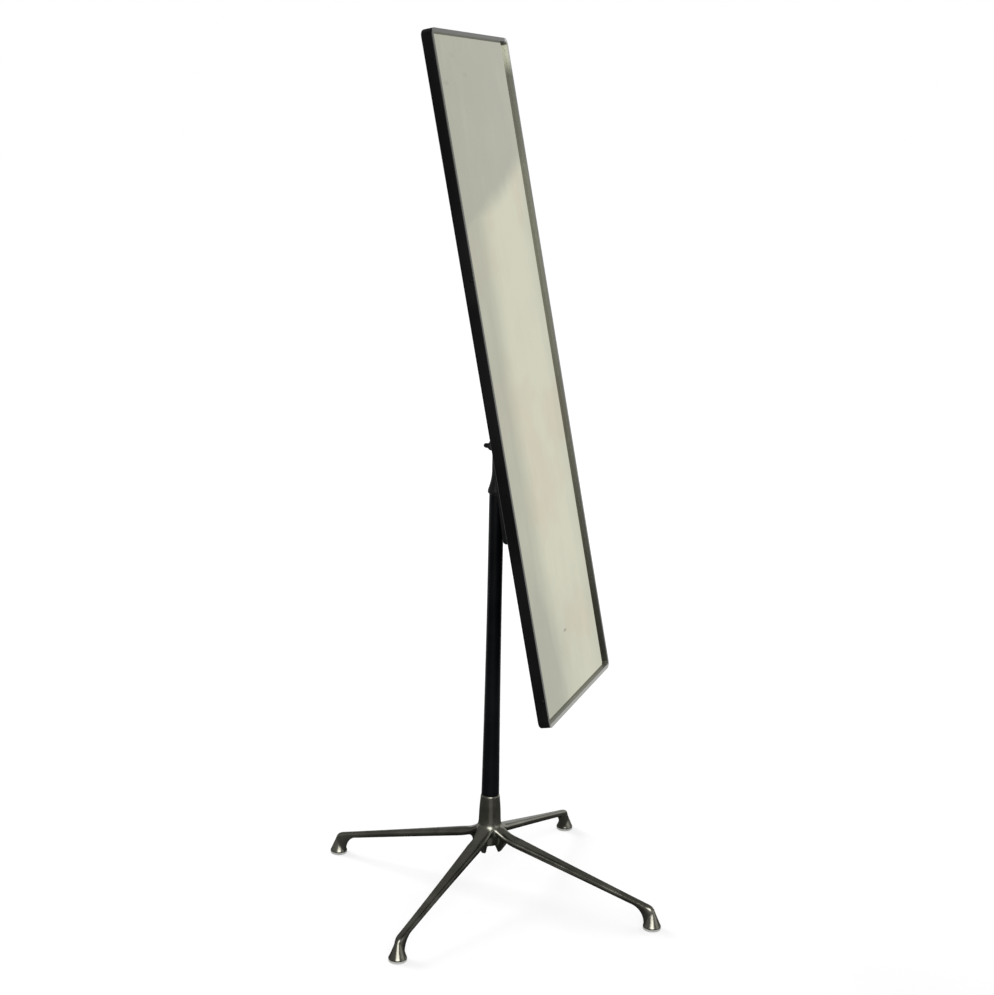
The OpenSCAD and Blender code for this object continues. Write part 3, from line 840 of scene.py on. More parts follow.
class Surface(Enum):
    """Every finish on the mirror."""

    CAST = Finish("cast_base", (0.17, 0.165, 0.135), (0.31, 0.305, 0.26), 1.0,
                  (0.16, 0.30), 16.0, 700.0, relief_mm=0.05, scratch_level=0.6,
                  scratch_tone=(0.45, 0.45, 0.42), dust=0.05, edge_tint=0.7)
    PAD = Finish("glide_pad", (0.42, 0.42, 0.40), (0.60, 0.60, 0.57),
                 rough=(0.5, 0.65), relief_mm=0.05, scratch_tone=(0.25, 0.24, 0.22))
    COLUMN = Finish("column_paint", (0.0016, 0.0020, 0.0026), (0.0042, 0.0050, 0.0062),
                    rough=(0.30, 0.44), patch_scale=9.0, dust=0.03, specular=0.12,
                    scratch_tone=(0.02, 0.02, 0.02))
    BRACKET = Finish("bracket_paint", (0.0045, 0.0050, 0.0056), (0.0090, 0.0098, 0.0106),
                     rough=(0.38, 0.55), dust=0.06, specular=0.25,
                     scratch_tone=(0.05, 0.05, 0.05))
    PAN = Finish("pan_paint", (0.0028, 0.0028, 0.0029), (0.0062, 0.0062, 0.0068),
                 rough=(0.34, 0.52), patch_scale=6.0, grain_scale=1400.0, dust=0.04,
                 specular=0.10, scratch_tone=(0.03, 0.03, 0.03))
    # The four rails are lit and shaded copies of one brushed metal: each rail's tone is
    # painted light, and the foot rail is the most brightly lit copy
    BEZEL_LEFT = brushed((0.050, 0.050, 0.044), (0.125, 0.125, 0.110), UPRIGHT, 4.0, 1.0)
    BEZEL_RIGHT = brushed((0.066, 0.066, 0.059), (0.158, 0.158, 0.141), UPRIGHT, 4.0,
                          # Painted shade: the right rail darkens towards the bottom;
                          # painted highlight at its top
                          light_fades=(LightFade("Z", 0.85, 0.45, 0.48),
                                 LightFade("Z", 1.568, 1.612, 3.9)))
    BEZEL_TOP = brushed((0.060, 0.060, 0.056), (0.145, 0.145, 0.136), LEVEL, 7.0,
                        # Painted highlight where the top rail meets the right rail
                        light_fades=(LightFade("X", 0.180, 0.191, 5.0),))
    BEZEL_FOOT = brushed((0.25, 0.25, 0.23), (0.58, 0.58, 0.54), LEVEL, 7.0)
    ZINC = Finish("zinc_steel", (0.30, 0.30, 0.28), (0.50, 0.50, 0.47), 1.0, (0.28, 0.42),
                  60.0)
    SPRING = Finish("spring_steel", (0.045, 0.045, 0.045), (0.10, 0.10, 0.10), 1.0,
                    (0.30, 0.45), 60.0)
    ACETAL = Finish("bearing", (0.006, 0.006, 0.006), (0.014, 0.014, 0.014),
                    rough=(0.35, 0.5), patch_scale=60.0, scratch_tone=(0.04, 0.04, 0.04))
    FIBRE = Finish("friction_lining", (0.09, 0.05, 0.03), (0.17, 0.10, 0.06),
                   rough=(0.7, 0.85), patch_scale=90.0, relief_mm=0.08)
    FELT = Finish("packing", (0.50, 0.49, 0.45), (0.66, 0.65, 0.60), rough=(0.85, 0.95),
                  patch_scale=120.0, relief_mm=0.3)
    BOARD = Finish("hardboard", (0.16, 0.09, 0.045), (0.26, 0.16, 0.085),
                   rough=(0.55, 0.75), patch_scale=45.0, relief_mm=0.06)
    SCREW = Finish("black_screws", (0.010, 0.010, 0.010), (0.026, 0.026, 0.026), 1.0,
                   (0.35, 0.5), 80.0)
    SILVER = Silvering()

    def material(self) -> Material:
        """The finish's material, built the first time it is asked for."""
        name = self.name.lower()
        return bpy.data.materials.get(name) or self.value.make(name)


# ------------------------------------------------------------------ sub-assemblies


@dataclass
class Assembly:
    """Pieces that ride on one body of the frame."""

    frame: dict
    body: str

    def seat(self, obj: Object, surface: Surface, *nodes: str) -> None:
        """Dresses a new piece and puts it on the body in place of CAD nodes.

        Args:
            obj: the piece.
            surface: its finish.
            nodes: CAD nodes it stands for.
        """
        obj.data.materials.clear()
        obj.data.materials.append(surface.material())
        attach(obj, self.body)
        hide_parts(*nodes)
        LOG.info("%s on %s: %d faces", obj.name, self.body, len(obj.data.polygons))

    def soften(self, *pieces: tuple[str, Surface, float]) -> None:
        """Stands copies with broken edges in place of CAD nodes.

        Args:
            pieces: node, finish and width of the bevel of each.
        """
        for node, surface, width_mm in pieces:
            obj = softened(f"{node}_finished", self.frame["nodes"][node], width_mm)
            self.seat(obj, surface, node)

    def recoat(self, surface: Surface, *nodes: str) -> None:
        """Gives CAD nodes that stay a procedural material.

        Args:
            surface: their finish.
            nodes: names of the nodes.
        """
        for node in nodes:
            data = self.frame["nodes"][node].data
            data.materials.clear()
            data.materials.append(surface.material())
            LOG.info("%s on %s: CAD solid", node, self.body)


@dataclass
class StarBase(Assembly):
    """Cast hub, four arms and four flared feet, with their pads and the hub bolt.

    Each ease span is the place where the fillet round the hub starts and where it is
    full, in radius or height.
    """

    foot_circle_r: float = 350.0
    foot_d: float = 35.0
    root_r: float = 30.0
    root_h: float = 125.0
    root_w: float = 32.0
    root_t: float = 15.5
    tip_w: float = 15.5
    tip_t: float = 12.0
    ankle: float = 1.5
    elbow_h: float = 43.0
    elbow_r: float = 14.0
    heel_r: float = 34.0
    foot_lean: float = 23.0
    arm_start: float = 15.0
    arm_power: float = 0.62
    fillet_r: float = 52.0
    fillet_h: float = 26.0
    fillet_w: float = 3.0
    taper: float = 1.5
    hub_bottom: float = 97.0
    bore_r: float = 14.0
    bore_floor: float = 144.0
    bolt_hole_r: float = 6.5
    bolt_seat: float = 109.0
    web_t: float = 9.0
    web_in: float = 15.0
    web_point: float = 21.0
    web_out: float = 42.0
    pad_t: float = 4.0
    pad_inset: float = 0.6
    stem_r: float = 4.0
    stem_top: float = 19.0
    collar: float = 3.0
    lap: float = 1.0
    ease_out: Span = (66.0, 44.0)
    ease_bore: Span = (16.0, 19.0)
    ease_top: Span = (178.0, 154.0)
    ease_low: Span = (99.0, 107.0)

    @property
    def fall(self) -> float:
        """Slope of the arm's top, in radians below level."""
        return math.atan((self.root_h - self.elbow_h) / (self.foot_circle_r - self.root_r))

    def near_hub(self, r: np.ndarray) -> np.ndarray:
        """Share 0..1 of the root fillet at a radius, growing as a square to the hub."""
        return np.maximum(0.0, (self.fillet_r - r) / self.fillet_r) ** 2

    def top(self, r: np.ndarray) -> np.ndarray:
        """Height of the arm's top: a straight fall, lifted by the root fillet."""
        straight = self.root_h - (r - self.root_r) * math.tan(self.fall)
        return straight + self.fillet_h * self.near_hub(r)

    def share(self, r: np.ndarray) -> np.ndarray:
        """Share of the way from the root, where it is 0, to the foot's centre."""
        return np.maximum(0.0, (r - self.root_r) / (self.foot_circle_r - self.root_r))

    def depth(self, r: np.ndarray) -> np.ndarray:
        """Depth of the arm, falling evenly from root to tip."""
        return self.root_t + (self.tip_t - self.root_t) * self.share(r)

    def half_width(self, r: np.ndarray) -> np.ndarray:
        """Half the arm's width, narrowing as a power of 1.5, widened by the root fillet."""
        left = (self.root_w - self.tip_w) * (1 - np.minimum(self.share(r), 1)) ** self.taper
        return (self.tip_w + left) / 2 + self.fillet_w * self.near_hub(r)

    def bend(self, corner: np.ndarray, radius: float, angle: float,
             s: np.ndarray) -> np.ndarray:
        """Points round a corner: centre + r (sin a, cos a), a from the arm's fall on.

        Args:
            corner: where the two straight sides would meet.
            radius: radius of the rounding.
            angle: angle between the two sides, in radians.
            s: shares 0..1 of the rounding.

        Returns:
            (n, 2) points as radius and height.
        """
        back = radius * math.tan(angle / 2)
        start = corner + back * np.array([-math.cos(self.fall), math.sin(self.fall)])
        centre = start - radius * np.array([math.sin(self.fall), math.cos(self.fall)])
        a = self.fall + s * angle
        return centre + radius * np.stack([np.sin(a), np.cos(a)], -1)

    def arm(self) -> Shell:
        """One arm along +X: straight run, elbow and flared foot.

        Each ring is a superellipse between a point on the outer side and one on the
        inner side: outer and inner share |sin t|^e, and the width has |cos t|^e.

        Returns:
            The closed shell.
        """
        lean = math.radians(self.foot_lean)
        rim = self.foot_d / 2 - self.pad_inset
        rim_h = self.pad_t + self.collar - self.lap
        out, inn = self.foot_circle_r + rim, self.foot_circle_r - rim
        tan_fall, tan_lean = math.tan(self.fall), math.tan(lean)
        outer_h = (self.root_h - (out + rim_h * tan_lean - self.root_r) * tan_fall) \
            / (1 - tan_lean * tan_fall)
        outer_corner = np.array([out - (outer_h - rim_h) * tan_lean, outer_h])
        inner_corner = np.array([inn, float(self.top(inn) - self.depth(inn))])
        s = np.linspace(0, 1, 18)
        outer_bend = self.bend(outer_corner, self.elbow_r, math.pi / 2 - lean - self.fall,
                               s)
        inner_bend = self.bend(inner_corner, self.heel_r, math.pi / 2 - self.fall, s)
        run = np.linspace(0, 1, 44)[:-1]
        down = np.linspace(0, 1, 16)[1:, None]
        r_out = self.arm_start + run * (outer_bend[0, 0] - self.arm_start)
        r_in = self.arm_start + run * (inner_bend[0, 0] - self.arm_start)
        outer = np.concatenate([np.stack([r_out, self.top(r_out)], -1), outer_bend,
                                outer_bend[-1] + down * ([out, rim_h] - outer_bend[-1])])
        inner = np.concatenate([np.stack([r_in, self.top(r_in) - self.depth(r_in)], -1),
                                inner_bend,
                                inner_bend[-1] + down * ([inn, rim_h] - inner_bend[-1])])
        neck = self.tip_w / 2 + self.ankle
        half_w = np.concatenate([self.half_width(r_out),
                                 self.tip_w / 2 + s * (neck - self.tip_w / 2),
                                 neck + down[:, 0] * (rim - neck)])[:, None]
        power = np.concatenate([np.full(len(run), self.arm_power),
                                self.arm_power + (1 - self.arm_power) * s,
                                np.ones(len(down))])[:, None]
        t = 2 * np.pi * (np.arange(44) + 0.5) / 44
        across = half_w * np.sign(np.cos(t)) * np.abs(np.cos(t)) ** power
        up = np.sign(np.sin(t)) * np.abs(np.sin(t)) ** power
        middle, half = (outer + inner) / 2, (outer - inner) / 2
        return Shell.loft(np.stack([middle[:, :1] + up * half[:, :1], across,
                                    middle[:, 1:] + up * half[:, 1:]], -1))

    def web(self) -> Shell:
        """Pointed web under an arm's root: its outline drawn out across the arm.

        Returns:
            The closed shell.
        """
        low, high = self.hub_bottom, float(self.top(self.web_out))
        line = rounded([(self.web_in, low + 8), (self.web_in, low - 2),
                        (self.web_point, low - 14), (self.web_point + 4, low - 13),
                        (self.web_out, high - float(self.depth(self.web_out)) + 1),
                        (self.web_point, high)], [1, 1, 2, 2, 3, 1], closed=True)
        rings = np.insert(np.stack([line, line]), 1, 0.0, axis=2)
        rings[:, :, 1] = np.array([[-self.web_t / 2], [self.web_t / 2]])
        return Shell.loft(rings)

    def hub(self) -> Shell:
        """Turned hub: outer side from the bottom up, socket, bolt hole, bolt recess.

        Returns:
            The closed shell.
        """
        low, r = self.hub_bottom, self.bore_r
        outside = [(r, low), (18.5, low), (22.5, low + 6), (24.5, 125), (23.5, 135),
                   (22, 145), (21.5, 165), (18.6, 198), (17.6, HUB_TOP), (r, HUB_TOP)]
        inside = [(r, self.bore_floor), (self.bolt_hole_r, self.bore_floor),
                  (self.bolt_hole_r, self.bolt_seat), (r, self.bolt_seat)]
        reach = [0.5, 1.5, 3, 4, 4, 4, 6, 1, 0.5] + [0.4] * 5
        return Shell.turned(rounded(outside + inside, reach, closed=True), 120, wrap=True)

    def fill_roots(self, mesh: Mesh, rounds: int = 60) -> None:
        """Eases the casting where the arms meet the hub, as a cast fillet does.

        Each point moves half way to the mean of its neighbours, times a weight that is
        1 on the outside of the hub near the arms and fades to 0 along arm and hub.

        Args:
            mesh: skin of the casting.
            rounds: how often the points move.
        """
        count = len(mesh.vertices)
        p = np.empty(count * 3)
        mesh.vertices.foreach_get("co", p)
        p = p.reshape(-1, 3)
        edges = np.empty(len(mesh.edges) * 2, dtype=np.int64)
        mesh.edges.foreach_get("vertices", edges)
        a, b = edges.reshape(-1, 2).T
        degree = np.maximum(np.bincount(a, minlength=count)
                            + np.bincount(b, minlength=count), 1)
        r, z = np.hypot(p[:, 0], p[:, 1]) / MM, p[:, 2] / MM
        weight = even_ramp(r, *self.ease_out) * even_ramp(r, *self.ease_bore) \
            * even_ramp(z, *self.ease_top) * even_ramp(z, *self.ease_low)
        for _ in range(rounds):
            mean = np.stack([np.bincount(a, p[b, k], count) + np.bincount(b, p[a, k], count)
                             for k in range(3)], -1) / degree[:, None]
            p += 0.5 * weight[:, None] * (mean - p)
        mesh.vertices.foreach_set("co", p.ravel())
        mesh.update()

    def build(self) -> None:
        """Builds the casting, the pads and the bolt's pieces."""
        out, low, high = self.foot_d / 2, self.pad_t, self.pad_t + self.collar
        at_foot = shift(self.foot_circle_r)
        foot = Shell.turned(rounded([(0, low), (out - 0.5, low), (out, low + 0.8),
                                     (out, high - 0.8), (out - 0.8, high), (0, high)],
                                    0.5), 64)
        limb = self.arm().joined(foot.moved(at_foot), self.web())
        turns = [turn(BASE_TURN + 90 * k, "Z") for k in range(4)]
        whole = self.hub().joined(*[limb.moved(way) for way in turns])
        casting = fused("base_casting", whole, 1.25, 12)
        self.fill_roots(casting.data)
        self.seat(casting, Surface.CAST, "star_base")
        edge = out - self.pad_inset
        pad = Shell.turned(rounded([(0, 0), (edge - 1, 0), (edge, 1), (edge, low),
                                    (self.stem_r, low), (self.stem_r, self.stem_top),
                                    (0, self.stem_top)], [0, 0.8, 0.8, 0.3, 0.1, 0.5, 0]),
                           64).moved(at_foot)
        for side, way in zip(("right", "back", "left", "front"), turns):
            obj = add_object(f"foot_pad_{side}", pad.moved(way).mesh(f"pad_{side}"))
            self.seat(obj, Surface.PAD, f"glide_{side}")
        self.soften(("hub_bolt", Surface.ZINC, 0.4))
        self.recoat(Surface.ZINC, "hub_washer")
        self.recoat(Surface.SPRING, "hub_spring_washer")


@dataclass
class Column(Assembly):
    """Flared black column with the plug in its foot and the swivel bushes."""

    top_r: float = 14.2
    foot_r: float = 17.4
    flare: float = 420.0
    wall: float = 2.2
    power: float = 1.6

    def build(self) -> None:
        """Builds the tube; its radius grows to the foot as a power of 1.6."""
        h = np.linspace(0, self.flare, 60)
        r = self.top_r + (self.foot_r - self.top_r) * (1 - h / self.flare) ** self.power
        outer = np.stack([r[1:-1], HUB_TOP + h[1:-1]], -1)
        inner_r = self.top_r - self.wall
        ends = rounded([(self.top_r, HUB_TOP + self.flare), (self.top_r, COLUMN_TOP),
                        (inner_r, COLUMN_TOP), (inner_r, HUB_TOP),
                        (self.foot_r - 0.4, HUB_TOP), (self.foot_r, HUB_TOP + 1.0)],
                       [0, 0.6, 0.4, 0, 0.2, 0.2])
        tube = Shell.turned(np.concatenate([outer, ends]), 128, wrap=True)
        self.seat(add_object("column_skin", tube.mesh("column_skin")), Surface.COLUMN,
                  "column_tube")
        self.recoat(Surface.ZINC, "column_foot_plug")
        self.recoat(Surface.ACETAL, "thrust_washer", "upper_bush", "lower_bush")


@dataclass
class SwivelHead(Assembly):
    """Black head: beaded skirt, trumpet neck and pivot barrel, on its spindle."""

    skirt_r: float = 17.25
    bead_h: float = 8.0
    neck_r: float = 10.0
    skirt_h: float = 44.0
    power: float = 1.9
    neck_top: float = 90.5
    socket_r: float = 8.0
    socket_top: float = 34.0
    core_r: float = 1.0
    barrel_r: float = 10.5
    barrel_half: float = 17.25
    hole_r: float = 5.05
    bolt_room: float = 6.2
    bolt_cut: float = 5.6

    def neck(self) -> Shell:
        """Skirt and neck: the trumpet narrows from the skirt as a power of 1.9.

        Returns:
            The closed shell, where it stands on the column.
        """
        s = np.linspace(0, 1, 30)
        r, low = self.skirt_r, self.bead_h
        trumpet = np.stack([self.neck_r + (r - self.neck_r) * (1 - s) ** self.power
                            - 0.6 * (1 - s), low + (self.skirt_h - low) * s], -1)
        skirt = rounded([(self.socket_r, 0), (r - 1.6, 0), (r - 0.5, 1.2), (r, 3), (r, 5),
                         (r - 0.3, 6), (r - 0.6, low)], [0, 0.6, 0.8, 0.8, 0.8, 0.8, 0])
        inside = np.array([(self.neck_r, self.neck_top), (self.core_r, self.neck_top),
                           (self.core_r, self.socket_top),
                           (self.socket_r, self.socket_top)])
        line = np.concatenate([skirt, trumpet, inside])
        return Shell.turned(line, 96, wrap=True).moved(shift(z=HEAD_BASE))

    def bored(self, neck: Shell) -> Shell:
        """Draws the neck's upper end down clear of the bolt: z = h - sqrt(r^2 - y^2).

        Args:
            neck: skirt and neck.

        Returns:
            The neck with room for the bolt.
        """
        points, room = neck.points.copy(), self.bolt_room
        high = points[:, 2] > PIVOT_H - self.bolt_cut
        inside = np.minimum(np.abs(points[:, 1]), room)
        drop = np.sqrt(np.maximum(0.0, room ** 2 - inside ** 2))
        points[high, 2] = np.minimum(points[high, 2], (PIVOT_H - drop)[high])
        return Shell(points, neck.faces)

    def build(self) -> None:
        """Builds neck and barrel as one casting, and coats the spindle and its clip."""
        ends = (-self.barrel_half, self.barrel_half)
        line = rounded([(self.hole_r, ends[0]), (self.barrel_r, ends[0]),
                        (self.barrel_r, ends[1]), (self.hole_r, ends[1])], 0.7, closed=True)
        barrel = Shell.turned(line, 80, wrap=True).moved(shift(z=PIVOT_H) @ turn(90, "Y"))
        head = self.bored(self.neck()).joined(barrel)
        self.seat(fused("head_casting", head, 0.65, 4), Surface.BRACKET, "tilt_head")
        self.recoat(Surface.ZINC, "swivel_spindle")
        self.recoat(Surface.SPRING, "spindle_clip")


@dataclass
class TiltClamp(Assembly):
    """Pivot bolt, washers, disc spring and friction washers on the panel's side."""

    def build(self) -> None:
        """Breaks the edges of each turned piece."""
        self.soften(("pivot_bolt", Surface.SPRING, 0.35),
                    ("friction_washers", Surface.FIBRE, 0.15),
                    ("bolt_head_washer", Surface.ZINC, 0.25),
                    ("clamp_washer", Surface.ZINC, 0.25),
                    ("disc_spring", Surface.SPRING, 0.15))


@dataclass
class WingNut(Assembly):
    """Clamp nut with two thumb wings, on the pivot bolt."""

    face: float = 26.15
    length: float = 12.0
    boss_r: float = 8.5
    flange: float = 1.0
    hole_r: float = 5.05
    root_r: float = 5.0
    root_at: float = 6.0
    root_t: float = 2.5
    tip_r: float = 4.5
    tip_at: float = 12.5
    tip_t: float = 1.8

    def wing(self) -> Shell:
        """One wing: ellipse rings that shrink evenly outwards and end in a round tip.

        Returns:
            The closed shell.
        """
        s = np.linspace(0, 1, 9)[:-1]
        bow = np.linspace(0, 0.47 * np.pi, 9)
        a = 2 * np.pi * np.arange(40) / 40
        reach = np.append(self.root_at + (self.tip_at - self.root_at) * s,
                          self.tip_at + self.tip_r * np.sin(bow))
        tall = np.append(self.root_r + (self.tip_r - self.root_r) * s,
                         self.tip_r * np.cos(bow))[:, None]
        thick = np.append(self.root_t - (self.root_t - self.tip_t) * s,
                          self.tip_t * np.sqrt(np.cos(bow)))[:, None]
        return Shell.loft(np.stack([thick * np.cos(a), np.repeat(reach[:, None], 40, 1),
                                    tall * np.sin(a)], -1))

    def build(self) -> None:
        """Builds the boss, its flange and both wings as one casting."""
        half, wide = self.length / 2, self.boss_r + self.flange
        line = rounded([(self.hole_r, -half), (wide, -half), (wide, 3 - half),
                        (self.boss_r, 4 - half), (self.boss_r - 0.6, half),
                        (self.hole_r, half)], [0.3, 0.7, 0.7, 0.8, 1.2, 0.3], closed=True)
        boss = Shell.turned(line, 72, wrap=True).moved(turn(-90, "Y"))
        wings = [self.wing().moved(turn(degrees, "X")) for degrees in (0, 180)]
        nut = boss.joined(*wings).moved(shift(-self.face - half, 0, PIVOT_H))
        self.seat(fused("wing_nut_casting", nut, 0.32, 4), Surface.BRACKET, "wing_nut")


@dataclass
class YokeMount(Assembly):
    """Folded yoke and the plates and screws that hold it to the pan."""

    def build(self) -> None:
        """Breaks the edges of the folded and flat pieces."""
        self.soften(("tilt_yoke", Surface.BRACKET, 0.6),
                    ("mounting_plate", Surface.BRACKET, 0.5),
                    ("plate_screws", Surface.SPRING, 0.5))
        self.recoat(Surface.ZINC, "nut_plate")


@dataclass
class MirrorPanel(Assembly):
    """Pressed pan, bezel, glass and packing of the mirror panel."""

    width: float = 404.0
    height: float = 1242.0
    thick: float = 22.0
    corner_r: float = 13.0
    bend_r: float = 4.0
    sheet: float = 1.0
    front: float = 1.5
    rise: float = 121.0
    standoff: float = 59.0

    def place(self) -> Matrix:
        """Transform from the panel's own frame, drawn flat, to where it rests."""
        return (shift(z=PIVOT_H) @ turn(-REST_TILT, "X")
                @ shift(y=-self.thick - self.standoff, z=self.rise))

    def outline(self, inset: float) -> np.ndarray:
        """Rounded rectangle: corner centres plus r (cos a, sin a).

        Args:
            inset: how far it is drawn in from the panel's edge.

        Returns:
            An (n, 2) array of points.
        """
        r = max(self.corner_r - inset, 0.3)
        x, z = self.width / 2 - inset - r, self.height / 2 - inset - r
        quarter = np.arange(4)[:, None] * np.pi / 2 + np.linspace(0, np.pi / 2, 14)
        centres = np.array([(x, z), (-x, z), (-x, -z), (x, -z)])
        ring = centres[:, None] + r * np.stack([np.cos(quarter), np.sin(quarter)], -1)
        return ring.reshape(-1, 2)

    def pan(self) -> Shell:
        """Open tray: one section of sheet carried round the outline, and its flat back.

        The section is given as inset and depth.  Each bend is
        (r (1 - cos a), h - r (1 - sin a)).

        Returns:
            The closed shell.
        """
        a = np.linspace(0, np.pi / 2, 8)
        curl = np.stack([1 - np.cos(a), np.sin(a) - 1], -1)
        outer = np.concatenate([[(0.0, self.front)],
                                (0.0, self.thick) + self.bend_r * curl])
        inner = (self.sheet, self.thick - self.sheet) + (self.bend_r - self.sheet) * curl
        section = np.concatenate([outer, inner[::-1], [(self.sheet, self.front)]])
        rings = np.stack([np.insert(self.outline(inset), 1, depth, axis=1)
                          for inset, depth in section])
        rows, cols = rings.shape[:2]
        last = len(outer) - 1
        faces = grid_faces(rows, cols, True)
        faces = faces[faces[:, 0] // cols != last].tolist()
        faces.append(list(range(last * cols, (last + 1) * cols)))
        faces.append(list(range((last + 1) * cols, (last + 2) * cols))[::-1])
        return Shell(rings.reshape(-1, 3), faces)

    def build(self) -> None:
        """Builds the pan and dresses everything that it holds."""
        pan = self.pan().moved(self.place())
        self.seat(add_object("pan_pressing", pan.mesh("pan_pressing", 40.0)), Surface.PAN,
                  "rear_pan")
        self.soften(("bezel_left", Surface.BEZEL_LEFT, 0.3),
                    ("bezel_right", Surface.BEZEL_RIGHT, 0.3),
                    ("bezel_top", Surface.BEZEL_TOP, 0.3),
                    ("bezel_bottom", Surface.BEZEL_FOOT, 0.3),
                    ("mirror_glass", Surface.SILVER, 0.3),
                    ("pan_screws", Surface.SCREW, 0.12))
        self.recoat(Surface.BOARD, "backing_board")
        self.recoat(Surface.FELT, "foam_strips")


# ------------------------------------------------------------------ studio


@dataclass(frozen=True)
class Lamp:
    """Softbox that hangs at one point and faces another, in metres and watts."""

    name: str
    at: Point
    target: Point
    size: Span
    watts: float
    mirrored: bool = True

    def hang(self) -> None:
        """Adds the softbox; reflections show it only where it is mirrored."""
        data = bpy.data.lights.new(self.name, "AREA")
        data.shape, data.energy = "RECTANGLE", self.watts
        data.size, data.size_y = self.size
        obj = add_object(self.name, data)
        facing = Vector(self.at) - Vector(self.target)
        obj.rotation_euler = facing.to_track_quat("Z", "Y").to_euler()
        obj.location = self.at
        obj.visible_glossy = self.mirrored


@dataclass
class Studio:
    """Pale floor, even world, soft lamps and the camera at the photograph's angle.

    Each span or reach is where something starts and where it is full: a span as a share
    of a direction, or on the floor under and behind the base in metres, and a reach in
    metres.
    """

    lens_px: float = 1759.974
    long_side_px: float = 995.0
    sensor_mm: float = 36.0
    azimuth: float = -1.24642794
    yaw: float = -0.000169
    pitch: float = 0.213417
    roll: float = 0.0217232
    distance: float = 3.242937
    height: float = 1.4955
    # Strengths of the world: to reflections, and as the even fill
    horizon: float = 1.0
    ceiling: float = 0.21
    surround: float = 0.11
    camera_side: float = 0.26
    front_wall: float = 0.85
    low_sky: float = 0.80
    fill_level: float = 0.62
    # Strengths of the floor: to reflections, and its glow to the camera
    # Painted shadow: how dark reflections see the floor right under the base
    under: float = 0.05
    near_floor: float = 0.12
    window: float = 0.19
    behind: float = 0.75
    glow_near: float = 0.60
    glow_far: float = 0.82
    # Level directions, as X and Y
    backdrop: Span = (0.93, -0.37)
    window_side: Span = (-0.887, -0.463)
    far_side: Span = (0.996, 0.087)
    away_side: Span = (0.948, 0.319)
    # Spans and reaches of the world, then of the floor
    ceiling_deg: Span = (34.0, 14.0)
    camera_span: Span = (0.1, -0.6)
    front_span: Span = (-0.84, -0.96)
    band_height: Span = (0.13, 0.04)
    band_span: Span = (0.74, 0.86)
    backdrop_span: Span = (0.86, 0.96)
    under_shadow_span: Span = (0.20, 0.42)
    behind_span: Span = (0.30, 0.85)
    far_reach: Span = (0.9, 2.0)
    far_span: Span = (0.70, 0.84)
    window_span: Span = (0.90, 0.99)
    window_reach: Span = (1.6, 0.9)
    glow_reach: Span = (0.6, 4.0)
    floor_half: float = 40.0
    floor_tones: tuple[RGB, RGB] = ((0.34, 0.34, 0.338), (0.36, 0.36, 0.358))
    lamps: tuple[Lamp, ...] = (
        Lamp("key", (-3.6, -1.9, 2.7), (0, 0, 0.5), (3.0, 3.0), 66.0),
        Lamp("strip", (-3.2, -0.95, 1.5), (0, 0, 0.3), (2.6, 1.5), 36.0),
        Lamp("fill", (2.8, -2.4, 2.4), (0, 0, 0.8), (2.2, 2.2), 40.0, False),
        Lamp("rim", (0.9, 3.2, 2.4), (0, 0, 0.8), (1.8, 1.8), 110.0, False))

    def camera(self) -> None:
        """Places the camera; its axes are the look direction, right and up, rolled."""
        data = bpy.data.cameras.new("camera")
        data.sensor_width = self.sensor_mm
        data.lens = self.lens_px * data.sensor_width / self.long_side_px
        data.clip_start, data.clip_end = 0.05, 200.0
        obj = add_object("camera", data)
        heading = self.azimuth + self.yaw
        look = np.array([-math.sin(heading) * math.cos(self.pitch),
                         math.cos(heading) * math.cos(self.pitch), -math.sin(self.pitch)])
        side = np.cross(look, [0, 0, 1])
        side /= np.linalg.norm(side)
        upper = np.cross(side, look)
        c, s = math.cos(self.roll), math.sin(self.roll)
        right, up = side * c + upper * s, -side * s + upper * c
        at = [math.sin(self.azimuth) * self.distance,
              -math.cos(self.azimuth) * self.distance, self.height]
        rows = [[right[k], up[k], -look[k], at[k]] for k in range(3)] + [[0, 0, 0, 1]]
        obj.matrix_world = Matrix(rows)
        bpy.context.scene.camera = obj

    def world(self) -> None:
        """White to the camera, an even fill, and a bright backdrop for reflections.

        Reflections see full white in a narrow field towards the backdrop, below 14
        degrees of elevation, and a bright band low over the floor beyond the base.
        Elsewhere they see a pale wall on the mirror's front, a dim one on the camera's
        side, a darker surround and, above 34 degrees, the ceiling.
        """
        world = bpy.data.worlds.new("studio_world")
        world.use_nodes = True
        tree = world.node_tree
        tree.nodes.clear()
        ray = outputs_of(new_node(tree, "ShaderNodeLightPath"))
        way = outputs_of(new_node(tree, "ShaderNodeTexCoord"))["Generated"]
        z, reach = way.axis("Z"), way.towards(self.backdrop)
        lit = reach.eased(*self.camera_span).between(self.surround, self.camera_side)
        lit = way.axis("Y").eased(*self.front_span).between(lit, self.front_wall)
        band = z.eased(*self.band_height) \
            * way.towards(self.far_side).eased(*self.band_span)
        lit = band.between(lit, self.low_sky)
        lit = reach.eased(*self.backdrop_span).between(lit, self.horizon)
        high, low = (math.sin(math.radians(angle)) for angle in self.ceiling_deg)
        below = z.eased(high, low)
        level = ray["Is Glossy Ray"].between(self.fill_level,
                                             below.between(self.ceiling, lit))
        level = ray["Is Camera Ray"].between(level, 1.0)
        back = outputs_of(new_node(tree, "ShaderNodeBackground",
                                   {"Color": (1, 1, 1, 1), "Strength": level}))
        new_node(tree, "ShaderNodeOutputWorld", {"Surface": back["Background"]})
        bpy.context.scene.world = world

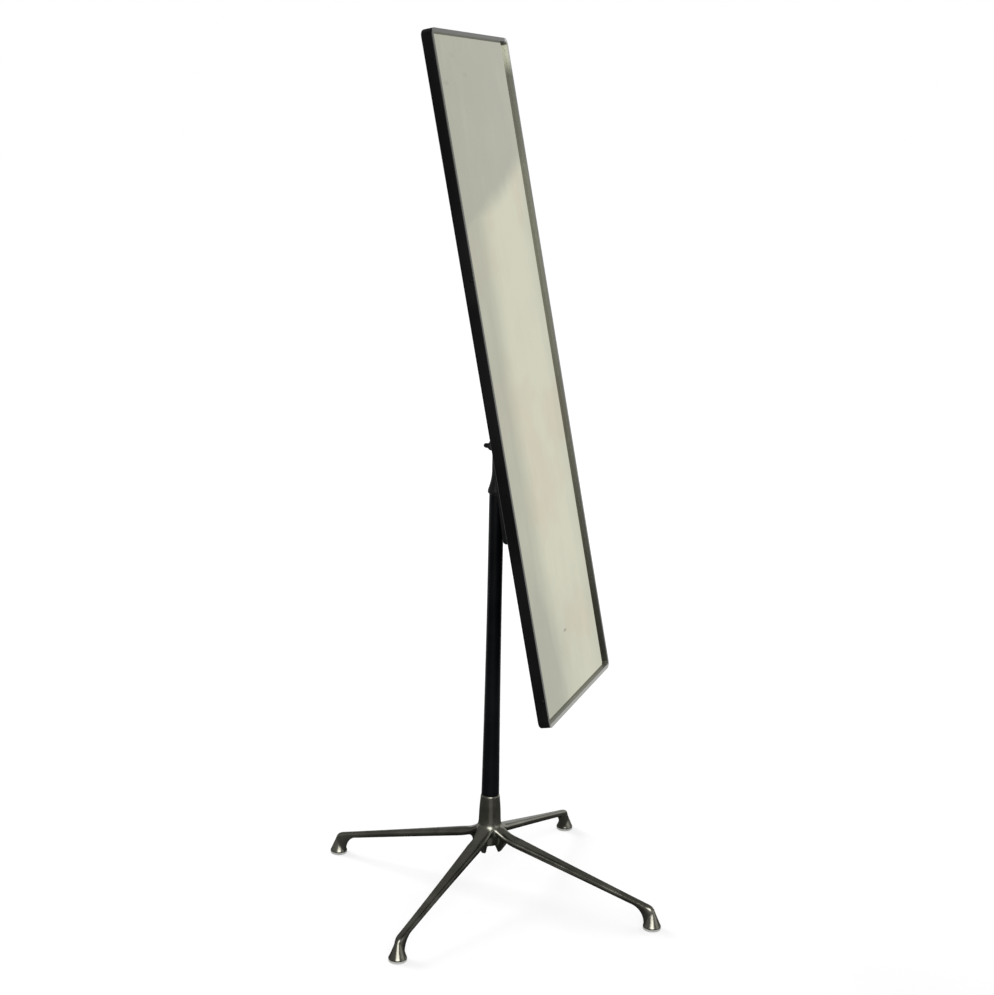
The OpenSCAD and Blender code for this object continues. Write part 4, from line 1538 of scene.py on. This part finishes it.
    def mirrored_floor(self, place: Field, away: Field) -> Field:
        """Brightness of the floor to reflections.

        It is dark under the base, as a painted shadow, and dim near it, with a patch of
        window light towards the camera, bright behind the base, and as bright as the
        backdrop from
        2 metres towards it.

        Args:
            place: Object coordinates.
            away: distance from the column.

        Returns:
            The brightness.
        """
        aim = place.through("ShaderNodeVectorMath", {0: place}, operation="NORMALIZE")
        near = away.eased(*self.under_shadow_span).between(self.under, self.near_floor)
        rear = place.towards(self.away_side).eased(*self.behind_span)
        far = place.towards(self.backdrop).eased(*self.far_reach) \
            * aim.towards(self.far_side).eased(*self.far_span)
        patch = aim.towards(self.window_side).eased(*self.window_span) \
            * away.eased(*self.window_reach)
        return far.between(rear.between(near, self.behind), self.horizon) \
            + patch * self.window

    def floor(self) -> None:
        """Wide pale floor that keeps the shadow and meets the white round it.

        The camera sees its shading lifted by a glow, so that it is white and still
        keeps the shadow.
        """
        half = self.floor_half
        mesh = bpy.data.meshes.new("studio_floor")
        mesh.from_pydata([(-half, -half, 0), (half, -half, 0), (half, half, 0),
                          (-half, half, 0)], [], [(0, 1, 2, 3)])
        obj = add_object("studio_floor", mesh)
        material, shader, place = new_material("studio_floor")
        ray = outputs_of(new_node(material.node_tree, "ShaderNodeLightPath"))
        away = place.through("ShaderNodeVectorMath", {0: place}, "Value",
                             operation="LENGTH")
        tone = place.noise(1.5, 3.0).tint(*self.floor_tones)
        seen = away.eased(*self.glow_reach).between(self.glow_near, self.glow_far)
        glow = ray["Is Glossy Ray"].between(0.0, self.mirrored_floor(place, away))
        feed(shader, {
            "Base Color": ray["Is Glossy Ray"].tint(tone, (0, 0, 0)),
            "Emission Color": (1, 1, 1, 1),
            "Emission Strength": ray["Is Camera Ray"].between(glow, seen),
            "Roughness": 0.85, "Specular IOR Level": 0.0})
        mesh.materials.append(material)

    def build(self) -> None:
        """Sets up the whole studio."""
        bpy.context.scene.view_settings.view_transform = "Standard"
        self.camera()
        self.world()
        self.floor()
        for lamp in self.lamps:
            lamp.hang()


def main() -> None:
    """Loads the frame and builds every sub-assembly."""
    logging.basicConfig(level=logging.INFO, format="%(name)s: %(message)s")
    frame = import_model()
    Studio().build()
    for assembly in (StarBase(frame, "base"), Column(frame, "base"),
                     SwivelHead(frame, "head"), TiltClamp(frame, "panel"),
                     WingNut(frame, "clamp"), YokeMount(frame, "panel"),
                     MirrorPanel(frame, "panel")):
        assembly.build()


if __name__ == "__main__":
    main()
